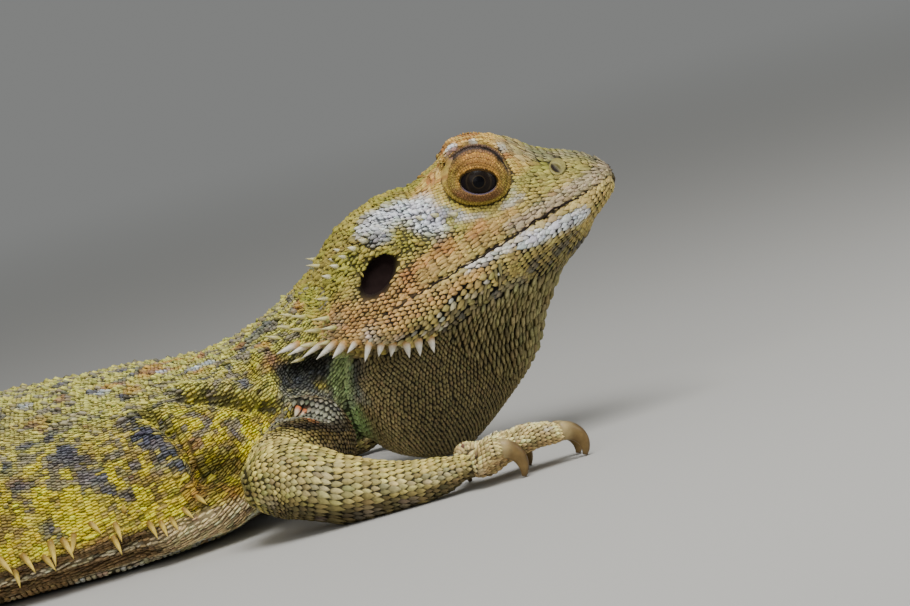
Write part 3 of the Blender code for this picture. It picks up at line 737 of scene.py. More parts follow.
def keeled_scale(half_rim, lights, split):
    """Points, faces and painted lightness of one keeled scale: painted shade at its rim and
    root, painted highlight on its keel and tip. Its rim runs anticlockwise from above, with a
    smaller ring over it where there are two lights. Sides whose ends add up to more than
    `split` go up to the keel's tip, and the others to its root."""
    half = np.array(half_rim)
    rim = np.vstack([half * (1, -1, 1, 1), half[-2:0:-1]])
    count = len(rim)
    rings, faces = [rim[:, :3]], [underside(count)]
    if len(lights) > 1:
        rings.append(np.column_stack([rim[:, :2] * SCALE_TOP_SIZE, rim[:, 3]]))
        faces.insert(0, ring_band(count))
    points = np.vstack([*rings, SCALE_KEEL])
    root, tip = len(points) - 2, len(points) - 1
    edge = np.arange(root - count, root)
    after = np.roll(edge, -1)
    ahead = points[edge, 0] + points[after, 0] > split
    keel = np.column_stack([edge, after, np.where(ahead, tip, root)])
    ends = [(edge[ahead][0], tip, root), (after[ahead][-1], root, tip)]
    along = ((rim[:, 0] + 0.5) / 1.1) ** 1.2
    light = [low + (high - low) * along for low, high in lights]
    return points, np.vstack([*faces, keel, ends]), np.concatenate([*light, KEEL_LIGHT])


def domed_scale(corners):
    """One low round scale: a rim, a smaller ring over it and a point on top."""
    turn = np.arange(corners) * math.tau / corners
    ring = np.column_stack([np.cos(turn), np.sin(turn)]) / 2
    rim = np.column_stack([ring, np.full(corners, -0.3)])
    top = np.column_stack([ring * 0.74, np.full(corners, 0.55)])
    fan = [(corners + i, corners + (i + 1) % corners, 2 * corners) for i in range(corners)]
    # A dark rim and a light top and point: painted shade and painted highlight.
    light = np.repeat((0.4, 0.95, 1.15), (corners, corners, 1))
    faces = np.vstack([ring_band(corners), underside(corners), fan])
    return np.vstack([rim, top, [(0, 0, 0.9)]]), faces, light


KEELED = keeled_scale(BROAD_RIM, (RIM_LIGHT, TOP_LIGHT), -0.4)
CHIP = keeled_scale(CHIP_RIM, (CHIP_LIGHT,), 0.25)
BEAD = domed_scale(6)


def cloud(places, size, seed=0):
    """Smooth noise from -1 to 1: random values at the corners of cubes of this size, and
    3t^2 - 2t^3 between them."""
    at = places / size + seed * 17.3
    cell = np.floor(at).astype(np.int64)
    t = at - cell
    t = t * t * (3 - 2 * t)
    total = np.zeros(len(places))
    for corner in np.ndindex(2, 2, 2):
        spot = cell + corner
        value = NOISE_CELLS[(spot[:, 0] * 157 + spot[:, 1] * 311 + spot[:, 2] * 733) % 4096]
        total += value * np.prod(np.where(np.array(corner) == 1, t, 1 - t), axis=1)
    return total


def flecks(places, size, seed, low, high):
    """0 where that noise is below low, and 1 where it is above high."""
    return step_between(low, high, cloud(places, size, seed))


def reading(table, shares):
    """A table of (share, value) read at these shares, or a plain number."""
    if np.isscalar(table):
        return np.full(np.shape(shares), float(table))
    return np.interp(shares, *np.array(table).T)


def lay_rows(surface, span, turn, step, width, first=0.25, stagger=0.5):
    """Roots of scales in rows along a loft. The first row runs at angle turn[0], the rest lie
    `width` apart round the section towards turn[1]. `step` is the way from one scale to the
    next along the row, and every other ring is shifted by half a scale."""
    fine = np.linspace(*span, 400)
    edge = surface(fine, np.full(400, turn[0]))
    gaps = np.linalg.norm(np.diff(edge, axis=0), axis=1) / reading(step, fine[1:])
    travel = np.concatenate([[0], np.cumsum(gaps)])
    along = np.interp(np.arange(0.5, travel[-1]), travel, fine)
    angles = np.linspace(*turn, 121)
    grid = surface(np.repeat(along, 121), np.tile(angles, len(along))).reshape(-1, 121, 3)
    arc = np.linalg.norm(np.diff(grid, axis=1), axis=2)
    arc = np.concatenate([np.zeros((len(along), 1)), np.cumsum(arc, axis=1)], axis=1)
    pitch = reading(width, along)[:, None]
    rows = np.arange(int((arc[:, -1:] / pitch).max()) + 1)
    wanted = (rows + first + stagger * (np.arange(len(along))[:, None] % 2)) * pitch
    inside = wanted < arc[:, -1:]
    apart = 1000.0 * np.arange(len(along))[:, None]
    angle = np.interp((wanted + apart)[inside], (arc + apart).ravel(), np.tile(angles, len(along)))
    ring, row = np.nonzero(inside)
    share = along[ring]
    step_share = np.gradient(along)[ring]
    before, after = surface(share - step_share / 2, angle), surface(share + step_share / 2, angle)
    sideways = surface(share, angle + 0.01) - surface(share, angle - 0.01)
    way = unit(after - before)
    return {
        "place": surface(share, angle), "way": way, "out": unit(np.cross(sideways, way)),
        "length": np.linalg.norm(after - before, axis=1), "width": pitch[ring, 0],
        "height": np.full(len(share), 0.4), "share": share, "turn": angle / math.tau + 0.5,
        "row": row.astype(float), "edge": np.ones(len(share)),
    }


def only(scales, keep):
    return {name: values[keep] for name, values in scales.items()}


def together(groups):
    return {name: np.concatenate([group[name] for group in groups]) for name in groups[0]}


def scaled(scales, **factors):
    """The scales with each named measure multiplied."""
    return {**scales, **{name: scales[name] * factor for name, factor in factors.items()}}


def make_hide_tree():
    hide_mesh.calc_loop_triangles()
    corners = np.empty(len(hide_mesh.loop_triangles) * 3, np.int32)
    hide_mesh.loop_triangles.foreach_get("vertices", corners)
    corners = corners.reshape(-1, 3)
    tree = BVHTree.FromPolygons(read_points(hide_mesh).tolist(), corners.tolist())
    return tree, unit(read_normals(hide_mesh)[corners].sum(1))


hide_tree, hide_facing = make_hide_tree()


def nearest_hide(places):
    """The nearest places on the hide, the way it faces there, and how far off they are."""
    found = [hide_tree.find_nearest(place) for place in places.tolist()]
    gap = np.array([hit[3] for hit in found])
    return np.array([hit[0][:] for hit in found]), hide_facing[[hit[2] for hit in found]], gap


def seat(scales, reach=1.7, facing=0.25):
    """Folds each root in as the hide is folded, then moves it to the nearest place on the
    hide. It drops those further than `reach` from it or facing another way, because
    another form covers them there."""
    turned = np.sign((scales["out"] * (scales["place"] - scales["place"].mean(0))).sum(1).sum())
    outward = scales["out"] * turned
    place, out, gap = nearest_hide(fold_hide(scales["place"] - outward * SKIN_DEPTH, outward))
    keep = (gap < reach) & ((out * outward).sum(1) > facing)
    way = scales["way"] - out * (scales["way"] * out).sum(1)[:, None]
    return only({**scales, "place": place, "out": out, "way": unit(way)}, keep)


def tree_of(places):
    tree = KDTree(len(places))
    for number, place in enumerate(places.tolist()):
        tree.insert(place, number)
    tree.balance()
    return tree


def clear_of(scales, others, share=0.62):
    """Drops the scales whose roots lie too near the roots of others, already laid."""
    tree = tree_of(others["place"])
    gap = np.array([tree.find(place)[2] for place in scales["place"].tolist()])
    return only(scales, gap > share * np.minimum(scales["length"], scales["width"]))


def jumbled(scales, shift, turn):
    """Moves each root at random up to `shift` along the skin, and turns its scale a little."""
    count = len(scales["place"])
    side = np.cross(scales["out"], scales["way"])
    step = dice.uniform(-shift, shift, (count, 2))
    angle = (turn * dice.standard_normal(count))[:, None]
    place = scales["place"] + scales["way"] * step[:, :1] + side * step[:, 1:]
    return {**scales, "place": place, "way": scales["way"] * np.cos(angle) + side * np.sin(angle)}


def mark(mesh, colour):
    """Gives each point of a mesh its marking."""
    tint = mesh.color_attributes.new("marking", "FLOAT_COLOR", "POINT")
    tint.data.foreach_set("color", np.column_stack([colour, np.ones(len(colour))]).astype(np.float32).ravel())


def coat_mesh(name, scales, shape, colour):
    """Every scale as its own small closed solid: root + along * way + across * side + high *
    out. Its OFBake patch lies where its root is on the loft unrolled: along it, and round."""
    points, faces, light = shape
    count, each = len(scales["place"]), len(points)
    side = np.cross(scales["out"], scales["way"])
    along, across, high = (scales[name][:, None] * points[:, axis]
                           for axis, name in enumerate(("length", "width", "height")))
    places = (scales["place"][:, None] + scales["way"][:, None] * along[..., None]
              + side[:, None] * across[..., None] + scales["out"][:, None] * high[..., None])
    places[..., 2] = np.maximum(places[..., 2], 0.02)
    corners = (faces[None] + (np.arange(count) * each)[:, None, None]).reshape(-1)
    mesh = bpy.data.meshes.new(name)
    mesh.vertices.add(count * each)
    mesh.vertices.foreach_set("co", in_room(places.reshape(-1, 3)).astype(np.float32).ravel())
    mesh.loops.add(len(corners))
    mesh.loops.foreach_set("vertex_index", corners.astype(np.int32))
    mesh.polygons.add(len(corners) // 3)
    mesh.polygons.foreach_set("loop_start", np.arange(0, len(corners), 3, dtype=np.int32))
    mesh.update(calc_edges=True)
    # Painted shade and highlight: each scale is made darker at its rim and root and lighter on its keel and
    # tip, as strongly as its edge asks.
    light = 1 + (light[None] - 1) * scales["edge"][:, None]
    mark(mesh, np.clip(colour[:, None] * light[..., None], 0, 1).reshape(-1, 3))
    patch = 0.003 * points[None, :, :2] + np.column_stack(
        [0.01 + 0.98 * scales["share"], 0.01 + 0.98 * scales["turn"]])[:, None]
    flat = mesh.uv_layers.new(name="OFBake")
    flat.data.foreach_set("uv", patch.reshape(-1, 2)[corners].astype(np.float32).ravel())
    if shape is BEAD:
        mesh.shade_smooth()
    return mesh


def scale_finish(name, roughness, grain, bump, **sockets):
    """Horn that takes its colour from the markings, clouded a little, with a fine grain."""
    finish = bpy.data.materials.new(name)
    finish.use_nodes = True
    nodes, links = finish.node_tree.nodes, finish.node_tree.links
    shader = nodes["Principled BSDF"]
    set_inputs(shader, Roughness=roughness, Specular_IOR_Level=0.2)
    set_inputs(shader, **sockets)
    marking = nodes.new("ShaderNodeAttribute")
    marking.attribute_name = "marking"
    place = nodes.new("ShaderNodeTexCoord")
    clouds = nodes.new("ShaderNodeTexNoise")
    set_inputs(clouds, Scale=grain, Detail=3)
    links.new(place.outputs["Object"], clouds.inputs["Vector"])
    spread = nodes.new("ShaderNodeMapRange")
    set_inputs(spread, From_Min=0.3, From_Max=0.7, To_Min=0.78, To_Max=1.2)
    links.new(clouds.outputs["Fac"], spread.inputs["Value"])
    tone = nodes.new("ShaderNodeVectorMath")
    tone.operation = "SCALE"
    links.new(marking.outputs["Color"], tone.inputs[0])
    links.new(spread.outputs["Result"], tone.inputs["Scale"])
    links.new(tone.outputs["Vector"], shader.inputs["Base Color"])
    relief = nodes.new("ShaderNodeBump")
    set_inputs(relief, Strength=bump, Distance=0.0001)
    links.new(clouds.outputs["Fac"], relief.inputs["Height"])
    links.new(relief.outputs["Normal"], shader.inputs["Normal"])
    return finish


# Painted shade: the hide between the scales is painted darker by this share.
GAP_SHADE = 0.88  # how much darker the hide between full-edged scales is
scale_horn = scale_finish("scale_horn", 0.45, 1400, 0.35)
coat_so_far = []


def add_piece(name, mesh, finish, slot):
    mesh.materials.append(finish)
    piece = bpy.data.objects.new(name, mesh)
    bpy.context.collection.objects.link(piece)
    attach(piece, "root")
    return piece


def add_coat(name, scales, colour, shape=KEELED, slot="skin", uneven=0.15, odd=0.0):
    """Makes the scales a piece, and keeps their places and colours for the hide's own. A
    share `odd` of them is much darker than its neighbours."""
    count = len(colour)
    colour = colour * np.where(dice.random((count, 1)) < odd, 0.42, 1.0)
    jitter = 1 + uneven * dice.standard_normal((count, 1)) + 0.03 * dice.standard_normal((count, 3))
    colour = np.clip(colour * jitter, 0.004, 1)
    add_piece(name, coat_mesh(name, scales, shape, colour), scale_horn, slot)
    # Painted shade in the gaps: the hide between these scales takes their colour, darkened.
    between = colour * (1 - GAP_SHADE * scales["edge"])[:, None]
    coat_so_far.append((scales["place"], between, scales["length"]))


YELLOW, BROWN = (0.86, 0.71, 0.04), (0.26, 0.17, 0.06)
PALE_OLIVE, TAN = (0.60, 0.58, 0.16), (0.50, 0.38, 0.13)
SLATE, DARK_SPOT, RUST = (0.10, 0.108, 0.15), (0.22, 0.19, 0.18), (0.50, 0.22, 0.05)
# The belly's dark colour is painted shade in its grooves and under the body, and its pale crests are partly
# painted light.
BELLY_TAN, BELLY_GROOVE_SHADE, BELLY_PALE = (0.56, 0.40, 0.19), (0.22, 0.14, 0.06), (0.80, 0.74, 0.50)
# The dark green on this line is painted shade for the deep creases.
ARMPIT_TAN, CREASE_SHADE, PALE_BLUE = (0.85, 0.66, 0.34), (0.15, 0.14, 0.02), (0.56, 0.62, 0.68)
# Tints beside the neck: a line on the left, its reach and its colour. Two are painted shade:
# the dark recess behind the jaw and the near-black line along its top.
NECK_PATCHES = (
    (((-41, 22, 23.0), (-37, 20.5, 22.0), (-33, 18.0, 20.5), (-28, 16, 19.5)), 3.0, (0.30, 0.31, 0.25)),
    # Painted shade in the recess behind the jaw, and a near-black line of painted shade along its top.
    (((-37.6, 18.0, 27.4), (-35, 16, 26.8), (-31, 14.5, 26.2), (-26, 14, 25.4)), 4.0, (0.055, 0.062, 0.072)),
    (((-37, 17.5, 29.0), (-33, 15.5, 28.8), (-28, 14, 28.2)), 1.7, (0.020, 0.019, 0.013)),
    (((-44, 19, 31), (-44.5, 23, 26)), 2.2, (0.64, 0.55, 0.05)),
    (((-27.2, 15.4, 28.0), (-28.4, 15.6, 25.5), (-29.2, 15.4, 23.3), (-29.2, 14.4, 20.8)),
     2.0, (0.42, 0.54, 0.22)),
)
# The slate bands of the flank: x at the top and at the foot, the half breadth.
FLANK_BANDS = ((-67, -60, 2.4), (-84, -73, 2.9), (-96, -88, 2.3), (-112, -103, 2.7), (-128, -119, 2.5),
               (-144, -136, 2.7), (-160, -152, 2.4))
TAIL_BAND_PITCH = 15.0
PALE_SPOTS = ((-90.1, 15.9, 34.9), (-62.9, 11, 34.4), (-56.4, 13.4, 33.3), (-53.9, 12.1, 33.7),
              (-74.7, 17, 33.7), (-108, 14, 35), (-131, 16, 34))


def plain(tint, places):
    """One colour for every place."""
    return np.tile(tint, (len(places), 1)).astype(float)


def mixed(base, tint, amount):
    """Each colour moved towards the tint by its amount."""
    return base + (np.asarray(tint) - base) * np.clip(amount, 0, 1)[:, None]


def layered(colour, *layers):
    """A colour with tints laid over it in turn, each by its own amounts."""
    for tint, amount in layers:
        colour = mixed(colour, tint, amount)
    return colour


def painted(colour, places, line, reach, tint, strength=1.0, ragged=0.35):
    """A soft-edged patch of a tint round a line: strength * exp(-(distance / reach)^4)."""
    near = beside(places, line) / reach + ragged * cloud(places, 2.2, 3)
    return mixed(colour, tint, strength * np.exp(-np.clip(near, 0, 9) ** 4))


def beside_neck(colour, places):
    """The neck's patches, two of them painted shade, laid over a colour."""
    for line, reach, tint in NECK_PATCHES:
        colour = painted(colour, places, line, reach, tint, 0.92)
    return colour


def body_colour(places):
    """Yellow flanks clouded with brown under a pale olive back, with slate bands and dark spots,
    the deep creases painted dark as shade, a tan belly whose rolls are pale on their crests
    (pale scale edges with painted light) and dark in their grooves (painted shade), and a
    banded tail."""
    x, _, z = places.T
    streaks = step_between(-0.05, 0.4, cloud(places * (1, 1, 0.55), 3.1, 2) + 0.7 * cloud(places, 1.4, 9))
    back = step_between(20, 31, z + 2.5 * cloud(places, 7, 1)) * step_between(-200, -176, x)
    colour = layered(plain(YELLOW, places), (BROWN, 0.85 * streaks), (PALE_OLIVE, 0.85 * back),
                     (TAN, 0.4 * flecks(places, 6, 2, 0.0, 0.6)))
    for top, foot, reach in FLANK_BANDS:
        shares = np.array([share_at(v) for v in np.linspace(top, foot, 5)])
        line = mirrored(body(shares, np.radians(np.linspace(-50, -84, 5))))
        colour = painted(colour, places, line, reach, SLATE, 0.97, 0.75)
    upper = step_between(14, 20, z)
    colour = layered(
        colour, (YELLOW, 0.75 * flecks(places, 1.1, 12, 0.22, 0.4) * (1 - back)),
        (DARK_SPOT, 0.7 * flecks(places, 1.25, 6, 0.35, 0.55) * upper),
        (DARK_SPOT, 0.8 * flecks(places, 2.1, 5, 0.22, 0.5) * upper),
        (SLATE, 0.75 * flecks(places, 3.0, 8, 0.42, 0.62) * step_between(20, 26, z)),
        (RUST, 0.6 * flecks(places, 4.5, 11, 0.4, 0.7) * step_between(-130, -60, x)),
    )
    # Painted shade: the deep creases are painted dark green.
    for line, reach, out in BODY_FOLDS:
        if out < -1:
            colour = painted(colour, places, line, 1.15 * reach, CREASE_SHADE, 0.75)
    colour = beside_neck(colour, places)
    for spot in PALE_SPOTS:
        colour = painted(colour, places, np.array(spot) + ((0, 0, 0), (0.6, 0, 0)), 1.25, PALE_BLUE, 0.9)
    tail = 1 - step_between(-204, -188, x)
    travelled = share_at(0) + np.interp(-x, [-row[0] for row in BODY], knots_of(BODY))
    bands = step_between(0.1, 0.6, np.sin(travelled * math.tau / TAIL_BAND_PITCH) + 0.5 * cloud(places, 4, 4))
    colour = layered(colour, (mixed(colour, DARK_SPOT, np.full(len(x), 0.75)), tail * bands),
                     (PALE_OLIVE, tail * 0.5 * (1 - bands)))
    low = (1 - step_between(7.6, 9.2, z)) * step_between(-190, -175, x)
    # Painted light and shade of the belly's rolls: pale on their crests, dark in their grooves and low down.
    rolls = np.sin((z - 1.1) * math.tau / 3.6)
    under = layered(plain(BELLY_GROOVE_SHADE, places), (BELLY_PALE, step_between(0.55, 0.95, rolls)),
                    (BELLY_TAN, 0.35 * step_between(-0.4, 0.6, rolls)),
                    (ARMPIT_TAN, step_between(-72, -64, x)))
    return mixed(colour, under, low)


def wavy(scales, amount, size):
    """Lets the rows wander sideways a little, as soft skin does."""
    side = np.cross(scales["out"], scales["way"])
    drift = amount * cloud(scales["place"], size, 21)
    return {**scales, "place": scales["place"] + side * drift[:, None]}


# The step and width of the body's scales at these x.
BODY_SIZES = ((0, 0.7, 0.58), (-45, 0.7, 0.58), (-60, 0.76, 0.6), (-75, 0.88, 0.62), (-120, 1.0, 0.7),
              (-150, 1.1, 0.8), (-185, 1.4, 1.1), (-215, 2.3, 1.65), (-330, 2.2, 1.5), (-460, 1.5, 0.9))
BODY_STEP = [(share_at(x), step) for x, step, _ in BODY_SIZES]
BODY_WIDTH = [(share_at(x), width) for x, _, width in BODY_SIZES]
UNDER_TURN = math.radians(127)  # beyond this the belly lies on the floor


def lay_body(span, hand, last_turn=UNDER_TURN):
    scales = wavy(lay_rows(body, span, (0, hand * last_turn), BODY_STEP, BODY_WIDTH), 0.6, 9)
    return seat(jumbled(scales, 0.12, 0.1), reach=2.6, facing=0.0)


def roughen(scales):
    """Taller, bigger scales here and there, most on the back, and flatter ones low down."""
    count = len(scales["place"])
    back = step_between(20, 34, scales["place"][:, 2])
    big = dice.random(count) < 0.03 + 0.07 * back
    size = (1 + 0.14 * dice.standard_normal(count) + 0.5 * big).clip(0.7)
    rise = 0.72 * (1 + 0.3 * back + 1.1 * big * (0.4 + back)) * (1 + 0.25 * dice.standard_normal(count))
    scales = scaled(scales, width=1.26 * size, length=1.5 * size, height=rise)
    return {**scales, "height": scales["height"].clip(0.15), "edge": np.full(count, 0.78)}


trunk_ends = (0.0, share_at(-190))
tail_ends = (share_at(-190), 0.992)
trunk_scales = {hand: lay_body(trunk_ends, hand) for hand in (-1, 1)}
trunk_scales[1] = clear_of(trunk_scales[1], trunk_scales[-1])
tail_scales = [lay_body(tail_ends, hand, math.radians(165)) for hand in (-1, 1)]


# --- The scales of the head --------------------------------------------------------------
# Long plates along both lips and smooth ones on the snout, small scales in rows over the
# cheek and jaw, rough ones on the temple and crown, and pale ones under the jaw whose
# rims carry strong painted shade.

HEAD_OCHRE, HEAD_GREEN, CHEEK = (0.58, 0.46, 0.12), (0.40, 0.38, 0.055), (0.60, 0.45, 0.16)
HEAD_ORANGE, HEAD_RED, WHITE = (0.60, 0.35, 0.12), (0.52, 0.18, 0.06), (0.76, 0.79, 0.83)
SNOUT_GREY, SNOUT_GREEN = (0.23, 0.215, 0.14), (0.37, 0.33, 0.09)
JAW_SLATE, POUCH_OCHRE = (0.10, 0.10, 0.12), (0.24, 0.20, 0.075)
BROW_ORANGE, BROW_RUST, LIP_LILAC = (0.70, 0.44, 0.12), (0.38, 0.15, 0.05), (0.46, 0.37, 0.27)
JAW_BLACK = (0.06, 0.06, 0.07)
EYE_WHITE, CREASE_GREY = (0.62, 0.62, 0.56), (0.27, 0.29, 0.33)
# Patches on the head, in its axes: a line of forward, out, up; the reach, tint and strength.
HEAD_PATCHES = (
    (((9, 12, 17), (12, 12, 20), (18, 10, 22), (24, 9, 19), (27, 9, 15)), 4.8, BROW_ORANGE, 0.95),
    (((10, 14, 16), (10.5, 15, 12), (12, 14.5, 9)), 2.2, (0.56, 0.42, 0.07), 0.8),
    (((25, 12, 16), (27.5, 11, 13), (27, 11.5, 10.5)), 1.8, (0.60, 0.26, 0.06), 0.8),
    (((-4, 21, 1.5), (-9, 22.5, -0.5), (-16, 21.5, 0), (-20, 19, 3)), 4.8, HEAD_ORANGE, 0.9),
    (((2, 20, 2.4), (8, 18.5, 2.6), (15, 16, 3.2), (21, 14, 3.6)), 2.0, HEAD_ORANGE, 0.5),
    (((-4, 20.5, -3.6), (3, 19.5, -3.2), (10, 18, -2.8)), 1.7, HEAD_ORANGE, 0.75),
    (((-3, 20, 4), (1, 20, 5), (8, 17.5, 5)), 1.4, HEAD_RED, 0.55),
    (((12.5, 16, 4.5), (15, 15.5, 5.0)), 1.2, HEAD_RED, 0.45),
    (((-3, 12, 16), (1.5, 13, 15.5), (5, 14, 13.5), (6, 15, 10.5)), 3.5, WHITE, 1.0),
    (((-6, 13, 15), (-3, 15, 13)), 2.2, WHITE, 0.65),
    (((8, 15.4, 11.5), (11.5, 15.8, 9.0)), 1.4, CREASE_GREY, 0.8),
    (((-5.5, 16.6, 12.6), (-2.5, 16.6, 12.0)), 1.3, CREASE_GREY, 0.8),
    (((10, 16, 8.6), (17.6, 15, 6.4), (24.9, 12.5, 5.5)), 1.0, (0.58, 0.55, 0.50), 0.75),
    (((15.6, 11, 19.2), (16.6, 11, 21.0)), 1.1, WHITE, 1.0),
    (((20.9, 11, 19.7), (21.9, 10.5, 20.6)), 0.9, WHITE, 0.95),
    (((25.4, 10, 17.6), (26.2, 9.5, 15.8)), 1.1, WHITE, 0.9),
    (((11.2, 9, 22), (11.6, 10, 19.5)), 1.4, CREASE_GREY, 0.7),
    (((23.4, 13, 7.6), (27.2, 11.5, 10.4)), 1.0, EYE_WHITE, 0.85),
    (((28, 7, 15), (33, 5, 11), (38, 3, 7.5), (41, 1, 4)), 3.2, SNOUT_GREY, 0.8),
    (((28, 11, 8), (33, 9, 6), (37, 7, 4.5)), 3.0, SNOUT_GREEN, 0.7),
    (((41.8, 1, 1.4), (38, 8, 1.8), (32, 10.5, 1.8), (26, 12.5, 1.6), (20, 14.5, 1.4)), 1.7, LIP_LILAC, 0.75),
    (((33.4, 9.5, -3.6), (27, 12, -3.2), (20.5, 14, -2.4)), 1.6, WHITE, 0.95),
    (((-15, 22, -3.0), (-10, 20.8, -5.0), (-5, 19.5, -6.4)), 1.5, WHITE, 0.5),
    (((19, 14.5, -1.5), (12, 17, -1.4), (8, 18, -1.2)), 0.8, WHITE, 0.55),
    (((0, 19.5, -8), (8, 17.5, -8.5), (16, 14, -9.5)), 2.4, JAW_SLATE, 0.5),
    (((-22, 15, 7), (-19, 16, 9), (-12, 17, 12)), 3.2, HEAD_GREEN, 0.7),
    (((-19, 19, 2), (-22, 17, 0)), 2.0, (0.46, 0.38, 0.28), 0.6),
)


def head_colour(places):
    """Ochre, greener above and darker under the jaw, with the patches over it."""
    forward, _, up = head_axes(places).T
    colour = 0.86 * layered(
        plain(HEAD_OCHRE, places), (HEAD_GREEN, step_between(3, 9, up) * (0.6 + 0.5 * cloud(places, 4, 6))),
        (CHEEK, 0.7 * bell(up, -1, 5)), (BROWN, 0.45 * flecks(places, 2.2, 31, 0.1, 0.5)),
        (POUCH_OCHRE, 0.85 * (1 - step_between(-10, -6.2, up - 0.05 * forward))),
    )
    for line, reach, tint, strength in HEAD_PATCHES:
        colour = painted(colour, places, head_line(line), reach, tint, strength)
    brow = (1 - step_between(10, 12, from_eye(forward, up))) * step_between(10, 13, up)
    jaw = (1 - step_between(-7, -4, up)) * step_between(-13, -9, up)
    colour = layered(colour, (BROW_RUST, 0.8 * brow * flecks(places, 1.9, 33, 0.1, 0.45)),
                     (HEAD_OCHRE, 0.6 * brow * flecks(places, 2.3, 35, 0.1, 0.5)),
                     (JAW_BLACK, 0.7 * jaw * flecks(places, 1.5, 36, 0.0, 0.3)))
    return beside_neck(colour, places)


LIP_ANGLE = math.pi / 2
# The line of the pale scales under the jaw, in the head's axes.
JAW_LINE = ((-9.5, 20, -7.6), (-1, 19.5, -7.4), (5, 18.5, -6.0), (12, 16.5, -6.4))
JAW_REACH, BROW_REACH, LIP_GAP = 2.5, 10.0, 0.75
OVERLAP_LONG, OVERLAP_BROAD = 1.18, 1.1
NOSTRIL, NOSTRIL_RADIUS = (33.1, 7.0), 1.9  # forward and up, in the head's axes
LID_EDGE = (7.3, 7.9, 5.1)  # half the length of the lids, their height above and below
LID_TURN = math.radians(-29.4)  # of the oval's long axis from the mouth's line
LID_BACK = 0.4  # how far the oval's middle lies behind the eye's


def lid_ellipse(forward, up):
    """1 on the lids' outer edge, and 0 at the eye's middle."""
    long, short = oval_axes(forward, up, EYE_CENTRE[::2], LID_TURN)
    high = np.where(short > 0, LID_EDGE[1], LID_EDGE[2])
    return np.hypot((long + LID_BACK) / LID_EDGE[0], short / high)


def head_rows(hand, below, step, width, lip=False):
    """Rows of these sizes from the mouth's line up to the crown, or down to the chin. A lip's
    own row isn't staggered."""
    turn = (hand * LIP_ANGLE, hand * math.pi if below else 0)
    lips = (0.66, 0) if lip else (0.25, 0.5)
    return seat(lay_rows(head, (0.008, 0.985), turn, step, width, *lips), reach=2.4, facing=0.1)


def resized(scales, long, broad, high, edge, rough=0.0):
    """Scales made longer, broader, this high and this strongly painted with shade at their rims
    and in the gaps and highlight on their keels (edge), unevenly where rough.
    """
    uneven = 1 + rough * dice.standard_normal(len(scales["row"]))
    scales = scaled(scales, length=OVERLAP_LONG * long * uneven.clip(0.5, 2),
                    width=OVERLAP_BROAD * broad * uneven.clip(0.5, 2))
    return {**scales, "height": high * uneven.clip(0.3, 3), "edge": np.full(len(uneven), edge)}


def lay_head(hand):
    """The head's zones, laid one after another, each clear of those before it. Returns the
    scales and the pale ones under the jaw."""
    groups = []

    def lay(below, step, width, wanted, *shape, lip=False):
        scales = head_rows(hand, below, step, width, lip)
        forward, _, up = head_axes(scales["place"]).T
        from_jaw = beside(scales["place"], head_line(JAW_LINE))
        keep = wanted(scales["row"], forward, up, from_eye(forward, up), from_jaw)
        if not lip:
            closed = 1 - 0.6 * step_between(39, 41.5, forward)
            keep = keep & (beside(scales["place"], mouth_line()) > LIP_GAP * closed)
        scales = only(scales, keep)
        rough = shape[4] if len(shape) > 4 else 0
        if rough:
            scales = jumbled(scales, 0.35 * width * min(1, 2 * rough), 1.2 * rough)
        if groups:
            scales = clear_of(scales, together(groups), 0.6)
        groups.append(resized(scales, *shape))

    lay(False, 2.3, 1.15, lambda row, f, u, e, j: (row < 1) & (f > -7), 1.0, 0.98, 0.30, 0.7, lip=True)
    lay(True, 2.7, 1.6, lambda row, f, u, e, j: (row < 2) & (f > 18) & (f < 36),
        1.0, 1.0, 0.22, 0.5, 0.06, lip=True)
    lay(True, 2.1, 1.2, lambda row, f, u, e, j: (row < 1) & (f > -7), 1.0, 0.98, 0.26, 0.7, lip=True)
    lay(False, 2.5, 0.80, lambda row, f, u, e, j: (row > 0) & (row < 7) & (f > -2),
        1.15, 1.06, 0.22, 0.8, 0.08)
    lay(False, 1.6, 1.2, lambda row, f, u, e, j: f > 27.5, 1.1, 1.08, 0.18, 0.6, 0.1)
    lay(False, 0.74, 0.66, lambda row, f, u, e, j: e < BROW_REACH, 1.2, 1.15, 0.16, 0.42, 0.12)
    lay(False, 0.95, 0.85, lambda row, f, u, e, j: (u > 14) & (f > 4), 1.2, 1.12, 0.22, 0.5, 0.15)
    lay(False, 1.0, 0.82, lambda row, f, u, e, j: (u > 7.5) & (f < 9), 1.2, 0.98, 0.58, 0.95, 0.32)
    lay(False, 1.1, 0.80, lambda row, f, u, e, j: f > -30, 1.14, 0.97, 0.38, 1.0, 0.15)
    lay(True, 1.4, 0.95, lambda row, f, u, e, j: (f > 2) & (j > JAW_REACH), 1.12, 1.02, 0.28, 1.1, 0.12)
    lay(True, 1.2, 0.92, lambda row, f, u, e, j: j > JAW_REACH, 1.08, 0.98, 0.34, 1.1, 0.12)
    laid = together(groups)
    pale = head_rows(hand, True, 1.6, 1.35)
    near = beside(pale["place"], head_line(JAW_LINE)) < JAW_REACH
    pale = clear_of(jumbled(only(pale, near), 0.15, 0.2), laid, 0.5)
    return laid, resized(pale, 1.04, 0.96, 0.50, 1.2, 0.16)


def outside_openings(scales):
    """Without those inside the sockets, the ears or the nostrils."""
    forward, out, up = head_axes(scales["place"]).T
    clear = (lid_ellipse(forward, up) > 0.98) | (np.abs(out) < 8)
    clear &= np.hypot(forward - NOSTRIL[0], up - NOSTRIL[1]) > 0.9 * NOSTRIL_RADIUS
    return only(scales, clear & ((ear_ellipse(scales["place"]) > 1.05) | (np.abs(out) < 10)))


